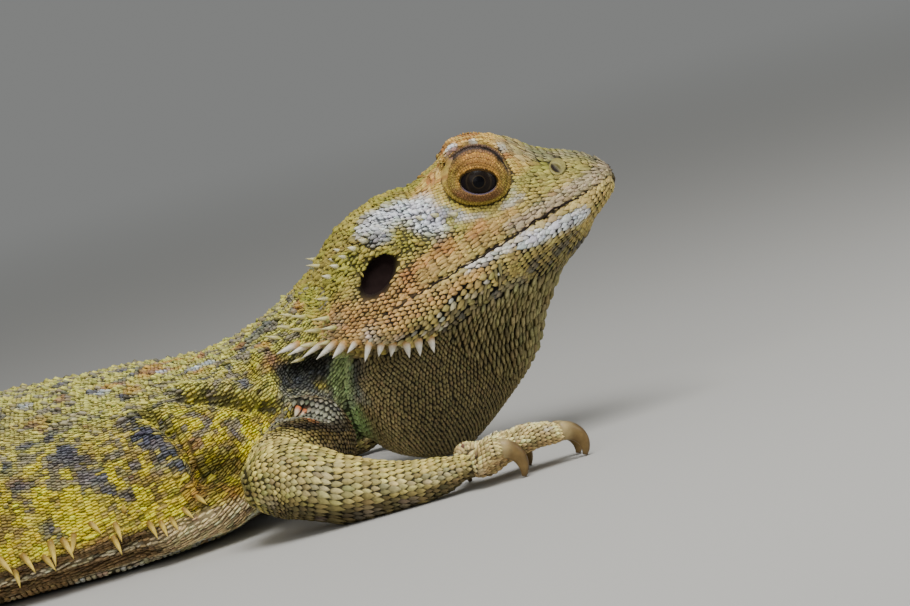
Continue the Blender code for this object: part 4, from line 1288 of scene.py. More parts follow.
JAW_PALE, JAW_OCHRE = (0.62, 0.60, 0.50), (0.52, 0.42, 0.14)
head_scales, jaw_scales = lay_head(-1)
far_scales, far_jaw_scales = lay_head(1)
far_scales = clear_of(far_scales, head_scales)
head_scales, far_scales = outside_openings(head_scales), outside_openings(far_scales)
jaw_scales = together([jaw_scales, far_jaw_scales])
for name, scales in (("right", head_scales), ("left", far_scales)):
    add_coat("scales_head_" + name, scales, head_colour(scales["place"]))
shade = dice.random(len(jaw_scales["row"]))
jaw_colour = layered(head_colour(jaw_scales["place"]), (JAW_OCHRE, 1.6 * shade),
                     (JAW_PALE, 3.0 * (shade - 0.7)))
add_coat("scales_jaw_domes", jaw_scales, jaw_colour)
head_scales = together([head_scales, far_scales, jaw_scales])


# --- The throat pouch's scales -------------------------------------------------------------
# Pointed scales in slanting rows, with dark skin between them, its darkness painted shade
# in the gaps. They grow long and spiny towards the front and just under the jaw.

POUCH_STEP = ((0, 1.7), (0.25, 1.35), (0.6, 1.25), (1, 1.15))
POUCH_WIDTH = ((0, 0.95), (0.3, 0.84), (1, 0.8))
POUCH_OLIVE, POUCH_YELLOW, POUCH_GREEN = (0.18, 0.145, 0.06), (0.36, 0.32, 0.14), (0.60, 0.90, 0.34)
POUCH_REAR = (0.44, 0.35, 0.15)


def pouch_colour(places):
    """Dark olive, yellower and paler to the front, with a green strip up the rear edge."""
    forward, _, up = head_axes(places).T
    front = step_between(-4, 20, forward + 0.5 * up + 8) * (0.7 + 0.3 * cloud(places, 3, 2))
    rear = (1 - step_between(-22, -14, forward)) * step_between(-32, -26, up)
    strip = (1 - step_between(-25.5, -23.0, forward)) * step_between(-24, -18, up)
    colour = layered(plain(POUCH_OLIVE, places), (POUCH_YELLOW, 0.8 * front), (POUCH_REAR, 0.75 * rear),
                     (POUCH_GREEN, 0.8 * strip))
    return beside_neck(colour, places)


def pouch_front(places):
    """1 at the pouch's front, where its scales are spines, and 0 behind."""
    forward, _, up = head_axes(places).T
    return step_between(-6, 6, forward + 0.35 * (up + 15)) * step_between(-31, -20, up)


def lay_pouch(hand):
    """Rows that run down the pouch, side by side from the front round to the back: long
    scales at the front, with finer ones behind."""
    def rows(step, width):
        laid = lay_rows(pouch, (0.05, 0.97), (0, hand * math.pi), step, width)
        return seat(jumbled(laid, 0.12, 0.07), reach=2.2, facing=0.1)

    long, fine = rows(2.2, 1.15), rows(POUCH_STEP, POUCH_WIDTH)
    long = only(long, pouch_front(long["place"]) > 0.45)
    return together([long, clear_of(only(fine, pouch_front(fine["place"]) <= 0.5), long, 0.75)])


pouch_scales = lay_pouch(-1)
pouch_scales = together([pouch_scales, clear_of(lay_pouch(1), pouch_scales)])
pouch_scales = clear_of(pouch_scales, head_scales)
front = pouch_front(pouch_scales["place"])
chin = step_between(19, 26, head_axes(pouch_scales["place"])[:, 0])
pouch_scales["height"] = (0.36 + 0.8 * front * (0.4 + 0.9 * dice.random(len(front)))) * (1 - 0.75 * chin)
pouch_scales["edge"] = 1 + 0.08 * front
pouch_scales = scaled(pouch_scales, length=(1.2 + 0.35 * front) * (1 - 0.35 * chin),
                      width=(0.92 - 0.16 * front) * (1 - 0.2 * chin))
add_coat("scales_pouch", pouch_scales, pouch_colour(pouch_scales["place"]), slot="pouch_skin")


# --- The scales of the limbs ---------------------------------------------------------------
# Broad rhombic scales that overlap towards the hand or foot, in rings round each segment.

# The dark olive below is deepened as painted shade on the undersides, and the dark brown at the shoulder is
# painted shadow of the fold over it.
LIMB_TAN, LIMB_PALE, LIMB_OLIVE_SHADE = (0.60, 0.49, 0.14), (0.56, 0.52, 0.38), (0.10, 0.08, 0.035)
SHOULDER_SHADOW_BROWN, LIMB_UMBER, ELBOW_GREEN = (0.06, 0.035, 0.012), (0.34, 0.26, 0.10), (0.80, 0.70, 0.12)
# Each kind of segment: the span that is laid, and the scales' step and width along it.
SEGMENTS = {
    "upper_arm": ((0.0, 0.97), 1.2, 0.95),
    "forearm": ((0.03, 0.99), ((0, 1.3), (0.4, 1.7), (0.8, 1.4), (1, 1.15)),
                ((0, 1.1), (0.4, 1.35), (0.8, 1.15), (1, 0.95))),
    "thigh": ((0.0, 0.97), 1.5, 1.25),
    "shank": ((0.03, 0.99), ((0, 1.5), (0.4, 1.8), (0.8, 1.5), (1, 1.2)),
              ((0, 1.3), (0.4, 1.45), (0.8, 1.2), (1, 1.0))),
}
# Patches at the shoulder: a line on the left, its reach, tint and strength. The second is
# painted shadow: a dark band where the arm meets the neck.
ARM_PATCHES = (
    (((-42, 29, 21.5), (-37, 27, 21.0), (-32.5, 26, 19.6)), 4.6, (0.27, 0.27, 0.20), 0.85),
    # Painted shadow along the gap between the arm and the neck.
    (((-42, 35.5, 20.5), (-38, 37.0, 19.3), (-33, 32, 17.2), (-29, 24, 15.6)),
     1.5, (0.03, 0.022, 0.012), 0.9),
    (((-37.4, 25.0, 21.0), (-36.8, 25.6, 20.8)), 1.1, (0.50, 0.16, 0.04), 0.7),
    (((-36.2, 31.4, 19.6), (-35.6, 32.0, 19.4)), 1.1, (0.50, 0.16, 0.04), 0.7),
)


def limb_colour(places, out):
    """Tan above, pale along the side and dark olive below, deepened there as painted shade,
    with a green elbow and a shoulder that is painted dark brown in front as the shadow of
    the fold over it, and marked like the trunk behind."""
    x, aside = places[:, 0], np.abs(places[:, 1])
    tilt = out[:, 2] + 0.15 * cloud(places, 5, 13)
    elbow = (1 - step_between(-52, -46, x)) * step_between(-70, -60, x) * step_between(40, 46, aside)
    shoulder = 1 - step_between(36, 43, aside)
    behind = shoulder * (1 - step_between(-47, -40, x + 2 * cloud(places, 3, 17))) * (x > -80)
    colour = layered(
        plain(LIMB_TAN, places), (LIMB_PALE, 0.6 * bell(tilt, 0, 0.25) * (0.7 + 0.5 * cloud(places, 4, 14))),
        # Painted shade on the undersides, and painted shadow of the fold on the shoulder's front.
        (LIMB_OLIVE_SHADE, 0.95 * (1 - step_between(-0.6, -0.2, tilt))), (ELBOW_GREEN, 0.95 * elbow),
        (SHOULDER_SHADOW_BROWN, 0.9 * shoulder * (x > -80)), (body_colour(places), behind),
        (LIMB_UMBER, 0.5 * flecks(places, 1.7, 18, 0.0, 0.5) * (1 - shoulder)),
    )
    for line, reach, tint, strength in ARM_PATCHES:
        colour = painted(colour, places, line, reach, tint, strength)
    return mixed(colour, DARK_SPOT, 0.35 * flecks(places, 3.4, 15, 0.4, 0.7))


def lay_round(surface, span, step, width):
    """Rows all round a loft, from its top down each side."""
    return together([lay_rows(surface, span, (0, hand * math.pi), step, width) for hand in (-1, 1)])


def lay_limb(name):
    return seat(lay_round(limb(name), *SEGMENTS[name.rsplit("_", 1)[0]]), reach=2.0, facing=0.1)


for limb_name, near, far in (("arm", "forearm_", "upper_arm_"), ("leg", "shank_", "thigh_")):
    for _, side in SIDES:
        lower = lay_limb(near + side)
        upper = clear_of(lay_limb(far + side), lower)
        lower["share"] = 0.5 * lower["share"]
        upper["share"] = 0.5 + 0.5 * upper["share"]
        scales = jumbled(together([lower, upper]), 0.14, 0.12)
        uneven = 1 + 0.13 * dice.standard_normal(len(scales["row"]))
        scales = scaled(scales, height=0.95 * uneven, length=1.42 * uneven, width=1.16 * uneven)
        colour = limb_colour(scales["place"], scales["out"])
        add_coat(f"scales_{limb_name}_{side}", scales, colour, uneven=0.22)
        for hand in (-1, 1):
            trunk_scales[hand] = clear_of(trunk_scales[hand], scales)


# --- The scales of the hands and feet ------------------------------------------------------
# Small pointed scales in rings round each digit, and over the palm.

DIGIT_CREAM, DIGIT_BROWN = (0.84, 0.66, 0.28), (0.34, 0.22, 0.09)


def foot_colour(places, out):
    """Cream with white and umber flecks, and brown below."""
    return layered(plain(DIGIT_CREAM, places), (WHITE, 0.35 * flecks(places, 2.4, 16, 0.2, 0.7)),
                   (LIMB_UMBER, 0.7 * flecks(places, 1.6, 19, 0.05, 0.5)),
                   (DIGIT_BROWN, 0.8 * (1 - step_between(-0.7, -0.1, out[:, 2]))))


for foot in FEET:
    groups = [lay_round(digit(foot, number), (0.08, 0.97), 1.05, 0.95) for number in range(len(DIGIT_NAMES))]
    groups.append(lay_round(palm(foot), (0.05, 0.95), 1.15, 1.0))
    for number, group in enumerate(groups):
        group["share"] = (number + group["share"]) / len(groups)
    scales = seat(together(groups), reach=1.3, facing=0.1)
    scales["height"] = 0.3 + 0.2 * dice.random(len(scales["height"]))
    scales = scaled(scales, length=1.35)
    add_coat("scales_" + foot, scales, foot_colour(scales["place"], scales["out"]), uneven=0.25)


# --- The scales of the trunk and tail, added ------------------------------------------------
# The rows laid first are thinned where the head's, pouch's and limbs' scales lie, roughened
# and parted along the trunk.

TRUNK_PARTS = (("neck", 0, -72), ("chest", -72, -118), ("loin", -118, -200))  # from x to x
for hand, side in SIDES:
    scales = roughen(clear_of(clear_of(trunk_scales[hand], head_scales), pouch_scales))
    for name, start, end in TRUNK_PARTS:
        part = only(scales, (scales["place"][:, 0] <= start) & (scales["place"][:, 0] > end))
        add_coat(f"scales_{name}_{side}", part, body_colour(part["place"]), CHIP, uneven=0.24, odd=0.06)
scales = together([roughen(group) for group in tail_scales])
add_coat("scales_tail", scales, body_colour(scales["place"]))


# --- The small scales in the folds ---------------------------------------------------------
# Where the limbs and neck meet the trunk the rows leave gaps, which fine beads fill.

BEAD_PITCH, BARE_SHARE, BARE_REACH, MOST_BEADS = 0.95, 0.55, 0.8, 8800
BEAD_LIE = np.array([-1.0, 0.0, -0.3])


def fold_beads():
    """One bead in each cube of BEAD_PITCH where the hide is bare: further from the nearest
    root than BARE_REACH and than BARE_SHARE of that scale's length."""
    places, facing = read_points(hide_mesh), read_normals(hide_mesh)
    roots, colours, lengths = (np.concatenate(parts) for parts in zip(*coat_so_far))
    tree = tree_of(roots)
    forward, out, up = head_axes(places).T
    opening = ((lid_ellipse(forward, up) < 1.05) | (ear_ellipse(places) < 1.1)) & (np.abs(out) > 7)
    opening |= np.hypot(forward - NOSTRIL[0], up - NOSTRIL[1]) < NOSTRIL_RADIUS
    found = [tree.find(place) for place in places.tolist()]
    gap, nearest = np.array([hit[2] for hit in found]), np.array([hit[1] for hit in found])
    bare = (gap > np.maximum(BARE_REACH, BARE_SHARE * lengths[nearest])) & (places[:, 2] > 0.9) & ~opening
    bare &= beside(places, mouth_line()) > 1.2 - 1.1 * step_between(38.5, 41.0, forward)
    cells = np.floor(places[bare] / BEAD_PITCH)
    _, first = np.unique(cells, axis=0, return_index=True)
    first = first[np.argsort(-gap[bare][first])[:MOST_BEADS]]
    place, out = places[bare][first], facing[bare][first]
    count = len(place)
    scales = {
        "place": place, "way": unit(BEAD_LIE - out * (out @ BEAD_LIE)[:, None]), "out": out,
        "length": dice.uniform(1.0, 1.5, count), "width": dice.uniform(0.8, 1.2, count),
        "height": np.full(count, 0.38), "edge": np.ones(count),
        "share": 0.02 + 0.96 * np.clip((place[:, 0] + 460) / 520, 0, 1),
        "turn": np.arctan2(place[:, 1], place[:, 2] - 12) / math.tau + 0.5,
    }
    return scales, colours[nearest[bare][first]] * 5.0


add_coat("scales_folds", *fold_beads(), BEAD)


# --- The hide's colour ----------------------------------------------------------------------
# Between the scales the skin shows their own colours, darkened as painted shade in the gaps,
# and between the lips, in the ears and in the groove under each eye it is nearly black,
# also painted shade.

# Near-black painted shade for the crack between the lips, the ears' openings and the groove under each eye.
CREVICE_SHADE = (0.020, 0.012, 0.008)


def colour_hide():
    """Each point of the hide takes the colour of the scale nearest to it, made darker in the gaps as painted
    shade, and nearly black with painted shade between the lips, in the ears and in the groove under each eye.
    """
    places, colours, _ = (np.concatenate(parts) for parts in zip(*coat_so_far))
    tree = tree_of(places)
    points = read_points(hide_mesh)
    colour = colours[[tree.find(place)[1] for place in points.tolist()]]
    forward, out, up = head_axes(points).T
    lips = bell(beside(points, mouth_line()), 0, 0.55, 4) * (1 - step_between(39.0, 40.5, forward))
    ears = (1 - step_between(0.9, 1.1, ear_ellipse(points))) * (np.abs(out) > 10)
    below = (up - EYE_CENTRE[2]) - 0.3 * np.abs(forward - EYE_CENTRE[0]) < 2.0
    sockets = bell(lid_ellipse(forward, up), 1, 0.09, 4) * (np.abs(out) > 7) * below
    # Painted shade: nearly black along the lips' crack, in the ears' openings and in the groove below each
    # eye.
    mark(hide_mesh, layered(colour, (CREVICE_SHADE, np.maximum(np.maximum(lips, ears), 0.9 * sockets)),
                            (SNOUT_GREY, step_between(40.4, 41.4, forward))))


colour_hide()
skin_finish = scale_finish("skin", 0.7, 900, 0.8)
hide_mesh.materials.clear()
hide_mesh.materials.append(skin_finish)


# --- The mouth's line -----------------------------------------------------------------------
# A thin cord of skin between the lips, closed at both ends, painted nearly black as the shade in the mouth's
# crack.

SEAM_HALF_WIDTH, SEAM_HIGH, SEAM_STEPS, SEAM_SIDES = 0.24, 0.16, 60, 8


def tube_faces(rings, sides, looped=False):
    """Quads between rings, each closed on itself, with a face on either end, or where looped
    with quads from the last ring back to the first."""
    ring, side = np.meshgrid(np.arange(rings - 1 + looped), np.arange(sides), indexing="ij")
    beyond = (side + 1) % sides
    after = (ring + 1) % rings * sides
    corners = [ring * sides + side, ring * sides + beyond, after + beyond, after + side]
    quads = np.stack(corners, -1).reshape(-1, 4).tolist()
    ends = [list(range(sides))[::-1], list(range((rings - 1) * sides, rings * sides))]
    return quads if looped else quads + ends


def surface_piece(name, points, faces, colour, hand, finish, slot):
    """A mesh with its markings. Faces made for the left side are turned over on the right."""
    mesh = bpy.data.meshes.new(name)
    mesh.from_pydata(in_room(points), [], [face[::hand] for face in faces])
    mark(mesh, colour)
    mesh.shade_smooth()
    return add_piece(name, mesh, finish, slot)


def mouth_seam(hand):
    """An oval section carried along the mouth's line, thinner towards the corner."""
    middle, facing, _ = nearest_hide(mouth_line(-7.0, SEAM_STEPS + 3)[3:] * (1, hand, 1))
    middle[1:-1] = (middle[:-2] + middle[1:-1] + middle[2:]) / 3
    out = unit(LEFT * hand + 0.5 * facing)
    across = unit(np.cross(out, unit(np.gradient(middle, axis=0))))
    angle = np.arange(SEAM_SIDES) * math.tau / SEAM_SIDES
    slim = np.interp(np.arange(SEAM_STEPS), (0, 4, 9, 50, 59), (0.05, 0.3, 1, 0.9, 0.3))[:, None, None]
    points = middle[:, None] + slim * (across[:, None] * (SEAM_HALF_WIDTH * np.cos(angle))[None, :, None]
                                       + out[:, None] * (SEAM_HIGH * np.sin(angle) + 0.12)[None, :, None])
    points = points.reshape(-1, 3)
    # Nearly black all along: painted shade in the crack between the lips.
    return points, tube_faces(SEAM_STEPS, SEAM_SIDES), plain(CREVICE_SHADE, points)


for hand, side in SIDES:
    surface_piece("mouth_seam_" + side, *mouth_seam(hand), 1, skin_finish, "skin")


# --- The spines ------------------------------------------------------------------------------
# Curved horn cones with their roots in the hide: the fringe along each flank, the beard's
# row under the jaw, short ones behind it, at the nape and on the temple, and red thorns.

SPINE_SIDES, SPINE_RINGS = 8, 7
FRINGE_SPINES, FRINGE_SHORTEST, FRINGE_LONGEST = 46, 2.4, 5.6
JAW_SPINES = 12
# In the head's axes: the beard's row, those behind it and at the nape, and the temple's.
JAW_ROW = ((-28, 15.8, 1.8), (-24, 18, 0.2), (-20.5, 20.3, -1.5), (-17.2, 22.3, -2.8), (-14.5, 22.2, -4.8),
           (-12, 20.6, -6.4), (-8.7, 19.6, -7.6), (-5.0, 18.6, -9.2))
SMALL_SPINES = ((-23, 17, 2.4), (-26, 15, 3.6), (-25, 16, 0.5), (-28, 13.5, 5.0), (-21, 18.6, 4.2),
                (-29, 14.5, 0.2), (-24.5, 14.8, 6.4), (-20, 19.5, 1.6), (-22.5, 18.0, -0.4), (-31, 13, 3.0),
                (-19.5, 17.5, 8.0), (-27, 12.5, 8.4), (-17.3, 8.8, 13.2))
TEMPLE_SPINES = ((-17, 16, 11.4), (-14.5, 16.5, 12.2), (-12, 16.5, 12.8), (-9.5, 16.3, 13.2), (-7, 16, 13.2),
                 (-15, 14, 14.2), (-12.5, 13.5, 15.2), (8, 16, 11.0), (11, 16.2, 9.4), (5, 15.5, 12.2))
THORNS = ((-37.6, 24.6, 21.4), (-36.6, 26.4, 21.2), (-36.0, 31.6, 20.0), (-34.6, 30.6, 19.8),
          (-39.0, 27.5, 21.6))


def fringe(hand):
    """Spines that hang out and down from the ledge, by turns long and short."""
    count = FRINGE_SPINES
    share = np.linspace(share_at(-60), share_at(-174), count) + 0.0012 * dice.standard_normal(count)
    angle = hand * np.radians(90 + 3.5 * dice.standard_normal(count))
    root, out, _ = nearest_hide(body(share, angle))
    forward = np.clip(0.25 + 0.3 * dice.standard_normal(count), -0.3, 0.9)
    way = out * 0.45 + np.array([0, 0, -0.8]) + forward[:, None] * np.array([1.0, 0, 0])
    upright = dice.random(count) < 0.14
    way[upright] = out[upright] * 0.7 + np.array([0.1, 0, 0.75])
    middle = np.sin(np.linspace(0.12, 0.94, count) * math.pi)
    length = FRINGE_SHORTEST + (FRINGE_LONGEST - FRINGE_SHORTEST) * middle * dice.uniform(0.35, 1, count)
    length[upright] *= 0.7
    return root - out * 0.3, unit(way), (-0.10, 0, -0.12), length, 0.36 + 0.09 * length


def beard_row(hand):
    """The row under the jaw: its spines point back at its rear, and down at its front."""
    share = np.linspace(0, 1, JAW_SPINES)
    root, out, _ = nearest_hide(curve_through(head_line(JAW_ROW, hand), share))
    turn = np.interp(share, (0, 0.3, 0.6, 1), np.radians((8, 22, 66, 84)))
    turn = turn + 0.16 * dice.standard_normal(JAW_SPINES)
    way = np.column_stack([-np.cos(turn), np.zeros(JAW_SPINES), -np.sin(turn)]) + out * 0.38
    length = np.interp(share, (0, 0.35, 0.55, 1), (5.4, 4.8, 3.6, 3.0)) * dice.uniform(0.7, 1.1, JAW_SPINES)
    radius = np.interp(share, (0, 0.4, 1), (0.75, 0.82, 0.86)) * dice.uniform(0.85, 1.15, JAW_SPINES)
    return root - out * 0.4, unit(way), (-0.05, 0, -0.06), length, radius


def small_spines(hand):
    """Short ones behind the jaw, and a longer one each side of the nape."""
    root, out, _ = nearest_hide(head_line(SMALL_SPINES, hand))
    way = unit(out * 0.55 + np.array([-0.85, 0, 0.1]))
    length = np.where(np.array(SMALL_SPINES)[:, 2] > 10, 4.0, 3.4) * dice.uniform(0.75, 1.15, len(root))
    return root - out * 0.3, way, (-0.05, 0.0, 0.0), length, 0.26 + 0.09 * length


def stubs(places, lean, push, depth, lengths, radii):
    """Short straight ones whose way is the hide's own times `lean`, plus a push."""
    root, out, _ = nearest_hide(places)
    length, radius = dice.uniform(*lengths, len(root)), dice.uniform(*radii, len(root))
    return root - out * depth, unit(out * lean + np.array(push)), (0, 0, 0), length, radius


def thorns(hand):
    """Over the arm, in front of the shoulder."""
    return stubs(np.array(THORNS) * (1, hand, 1), 0.5, (-0.3, 0, -0.8), 0.2, (1.9, 2.6), (0.65, 0.85))


def temple_spines(hand):
    """Blunt ones along the ridge over the ear and behind the eye."""
    return stubs(head_line(TEMPLE_SPINES, hand), 0.6, (-0.8, 0, 0.25), 0.3, (1.5, 2.3), (0.55, 0.75))


def add_spines(name, spines, foot, tip):
    """Cones whose middle line is root + way * L * t + bend * L * t^2 and whose radius is
    R * (1 - 0.97 * t^1.7), coloured from foot to tip."""
    t = np.linspace(0, 1, SPINE_RINGS)
    turn = np.arange(SPINE_SIDES) * math.tau / SPINE_SIDES
    root, way, bend, length, radius = spines
    a = unit(np.cross(way, (0.31, 0.2, 0.93)))
    b = np.cross(way, a)
    middle = (root[:, None] + way[:, None] * (length[:, None] * t)[..., None]
              + np.array(bend) * (length[:, None] * t**2)[..., None])
    thick = radius[:, None] * (1 - 0.97 * t**1.7)
    ring = a[:, None] * np.cos(turn)[:, None] + b[:, None] * np.sin(turn)[:, None]
    points = middle[:, :, None] + ring[:, None] * thick[..., None, None]
    points[..., 2] = np.maximum(points[..., 2], 0.05)
    starts = np.arange(len(root)) * SPINE_RINGS * SPINE_SIDES
    one = tube_faces(SPINE_RINGS, SPINE_SIDES)
    faces = [[corner + start for corner in face] for start in starts.tolist() for face in one]
    shade = mixed(plain(foot, t), tip, step_between(0.05, 0.55, t))
    colour = np.tile(np.repeat(shade, SPINE_SIDES, axis=0), (len(root), 1))
    surface_piece(name, points.reshape(-1, 3), faces, colour, 1, spine_horn, "skin")


SPINE_KINDS = (  # the name, the spines, their colour at the foot and at the tip
    ("shoulder_thorns_", thorns, (0.58, 0.13, 0.02), (0.84, 0.72, 0.52)),
    ("fringe_", fringe, (0.26, 0.15, 0.03), (0.74, 0.54, 0.11)),
    ("beard_spines_", beard_row, (0.50, 0.27, 0.06), (0.78, 0.74, 0.62)),
    ("nape_spines_", small_spines, (0.40, 0.37, 0.09), (0.66, 0.60, 0.30)),
)
spine_horn = scale_finish("spine_horn", 0.42, 900, 0.2)
for hand, side in SIDES:
    for kind, spines, foot, tip in SPINE_KINDS:
        add_spines(kind + side, spines(hand), foot, tip)
for hand, side in SIDES:
    add_spines("temple_spines_" + side, temple_spines(hand), (0.40, 0.37, 0.13), (0.66, 0.62, 0.40))


# --- The eyes ----------------------------------------------------------------------------------
# Dark glossy balls with a thin golden ring round the pupil, behind thick lids that close
# in as an oval.

EYE_RADIUS = 4.6
EYE_RINGS, EYE_SIDES = 90, 48
# The distance from the pupil's middle, in mm, and the colour there.
EYE_BANDS = ((0.0, (0.002, 0.002, 0.003)), (1.18, (0.002, 0.002, 0.003)), (1.25, (0.075, 0.05, 0.022)),
             (1.32, (0.02, 0.014, 0.008)), (1.45, (0.010, 0.007, 0.006)), (2.2, (0.013, 0.009, 0.006)),
             (2.45, (0.035, 0.025, 0.014)), (2.6, (0.012, 0.009, 0.007)), (3.2, (0.010, 0.008, 0.010)),
             (9.0, (0.012, 0.010, 0.014)))
APERTURE = (3.75, 2.5)  # half its length and height
LID_RINGS, LID_SIDES, LID_THICK = 22, 72, 3.0
LID_BEAD = 0.55  # the width of the round scales
LID_AMBER, LID_RUST, LID_OLIVE = (0.46, 0.24, 0.045), (0.60, 0.30, 0.07), (0.42, 0.30, 0.055)
# The violet is a painted sheen on the lower lid's inner edge.
LID_BROWN, LID_GREY, LID_VIOLET_SHEEN = (0.22, 0.10, 0.045), (0.13, 0.10, 0.10), (0.13, 0.11, 0.18)


def colour_rows(bands, at):
    """The colour at each distance, mixed between the nearest two bands."""
    reach = [band[0] for band in bands]
    return np.column_stack([np.interp(at, reach, [band[1][k] for band in bands]) for k in range(3)])


def eye_ball(hand):
    """Rings about the axis that points out of the head, closer together near the pupil."""
    off, turn = wheel(np.linspace(0.004, 1, EYE_RINGS) ** 1.5 * 0.996 * math.pi, EYE_SIDES)
    forward = EYE_CENTRE[0] + EYE_RADIUS * np.sin(off) * np.cos(turn)
    up = EYE_CENTRE[2] + EYE_RADIUS * np.sin(off) * np.sin(turn)
    points = in_head(forward, hand * (EYE_CENTRE[1] + EYE_RADIUS * np.cos(off)), up)
    across = np.where(off < math.pi / 2, EYE_RADIUS * np.sin(off), 9.0)
    return points, tube_faces(EYE_RINGS, EYE_SIDES), colour_rows(EYE_BANDS, across)


def oval_place(long, short, middle, tilt):
    """A place this far along and across a tilted oval, as forward and up."""
    return (middle[0] + long * math.cos(tilt) - short * math.sin(tilt),
            middle[1] + long * math.sin(tilt) + short * math.cos(tilt))


def seen_hide(hand, forward, up):
    """Where rays from outside, at these places in the head's axes, meet the hide."""
    starts = in_head(forward, hand * 40.0, up)
    return np.array([hide_tree.ray_cast(place, (0, -hand, 0))[0][:] for place in starts.tolist()])


def lid_oval(ring, turn):
    """How far along and across the oval the lids are, from the opening's edge at ring 0 to
    their own edge at ring 1."""
    high = np.where(np.sin(turn) > 0, LID_EDGE[1], LID_EDGE[2])
    long = (APERTURE[0] + (LID_EDGE[0] - APERTURE[0]) * ring) * np.cos(turn) - LID_BACK * ring
    return long, (APERTURE[1] + (high - APERTURE[1]) * ring) * np.sin(turn)


def lid_meets(hand, turn):
    """How far out the hide is along the lids' outer edge, less a little so they dip in."""
    table = lid_edges[hand]
    return np.interp(np.mod(turn, math.tau), np.linspace(0, math.tau, len(table)), table) - 0.35


def lid_surface(hand, ring, turn):
    """A lid's place: ring 0 at the opening's edge to 1 where it meets the hide, turn round
    the oval. It swells over the ball, and folds fold with the ring."""
    long, short = lid_oval(ring, turn)
    forward, up = oval_place(long, short, EYE_CENTRE[::2], LID_TURN)

    def on_ball(along, across):
        return EYE_CENTRE[1] + np.sqrt(np.clip(EYE_RADIUS**2 - along**2 - across**2, 0, None))

    rim = on_ball(APERTURE[0] * np.cos(turn), APERTURE[1] * np.sin(turn)) + 0.45
    swell = 0.55 * np.sin(np.clip(ring, 0, 1) * math.pi) ** 0.8
    upper = step_between(-0.1, 0.5, np.sin(turn))
    waves = 0.07 * np.sin(ring * 34 + 1.5 * np.sin(3 * turn)) * step_between(0.1, 0.3, ring)
    folds = waves - bell(ring, 0.74, 0.09) + 0.5 * bell(ring, 0.48, 0.14) - 0.28 * bell(ring, 0.21, 0.05)
    folds = folds * upper - 0.30 * bell(ring, 0.62, 0.08) * (1 - upper) + 0.22 * bell(ring, 0.08, 0.10)
    folds = folds - 0.7 * bell(ring, 0.95, 0.08) * (1 - 0.8 * upper)
    out = rim + (lid_meets(hand, turn) - rim) * step_between(-0.1, 1.05, ring) + swell + folds
    inner = on_ball(long, short) - 0.35
    out = np.where(ring < 0, inner + (rim - inner) * np.clip(1 + ring / 0.12, 0, 1), out)
    return in_head(forward, hand * out, up)


def lid_colour(ring, turn):
    """Amber at the opening, rust above, olive below. Painted shade makes it brown between the
    opening and the groove below, and dark at the opening's edge, in the upper lid's folds and
    in the groove under the lower lid. A painted violet sheen lies along the lower lid's inner
    edge."""
    rise = np.sin(turn)
    upper, below = step_between(-0.3, 0.5, rise), 1 - step_between(-0.7, -0.1, rise)
    streak = 0.5 + 0.5 * np.sin(ring * 34 + 2 * np.sin(3 * turn))
    colour = layered(
        plain(LID_OLIVE, ring), (LID_RUST, upper), (LID_OLIVE, np.abs(np.cos(turn)) ** 3),
        # Painted shade: brown between the opening and the groove below.
        (LID_BROWN, 0.9 * below * (1 - step_between(0.5, 0.7, ring))),
        (LID_BROWN, 0.45 * streak * (1 - below)),
        (LID_AMBER, 0.75 * bell(ring, 0.1, 0.1) * (1 - 0.8 * below)),
        (BROW_ORANGE, 0.8 * upper * step_between(0.82, 0.95, ring)),
        (BROW_RUST, 0.55 * upper * step_between(0.8, 0.9, ring) * (0.5 + 0.5 * np.sin(7 * turn))),
        (LID_GREY, 0.9 * bell(ring, 0.75, 0.12, 4) * step_between(0.0, 0.5, rise)),
        # A painted violet sheen along the lower lid's inner edge.
        (LID_VIOLET_SHEEN, 0.9 * below * (1 - step_between(0.0, 0.06, ring))),
    )
    # The dark lines and bands are painted shade: in the upper lid's folds, at the opening's edge, at the
    # lids' sides and in the groove under the lower lid.
    lines = (0.8 * bell(ring, 0.73, 0.05) + 0.6 * bell(ring, 0.21 + 0.04 * np.sin(3 * turn), 0.045)
             + 0.35 * bell(ring, 0.36 - 0.03 * np.sin(5 * turn), 0.03)
             + bell(ring, 0.68, 0.12) * bell(np.abs(np.cos(turn)), 0.72, 0.14))
    dark = lines * upper + bell(ring, -0.02, 0.06) * (1 - below)
    dark = dark + 1.2 * bell(ring, 0.95, 0.09) * (1 - step_between(0.35, 0.7, rise))
    dark = dark + 0.7 * bell(ring, 0.60, 0.05) * (1 - upper) * (1 - below)
    place = np.column_stack([9 * ring * np.cos(turn), 9 * ring * rise, 0 * ring])
    dark = dark * (0.85 + 0.5 * cloud(place, 3.0, 41)) + 0.35 * cloud(place, 0.9, 42).clip(0)
    dark = dark + 0.25 * cloud(place, 2.2, 43).clip(0)
    return colour * (1 - 0.9 * np.clip(dark, 0, 1))[:, None]


def lids(hand):
    """The lids' outer face, closed by one ring behind it."""
    ring, turn = wheel(np.linspace(-0.12, 1.08, LID_RINGS), LID_SIDES)
    points = lid_surface(hand, ring, turn)
    behind = (points[:LID_SIDES] + points[-LID_SIDES:]) / 2 - (0, hand * LID_THICK, 0)
    colour = np.vstack([lid_colour(ring, turn) * 0.7, plain(LID_BROWN, behind)])
    return np.vstack([points, behind]), tube_faces(LID_RINGS + 1, LID_SIDES, looped=True), colour


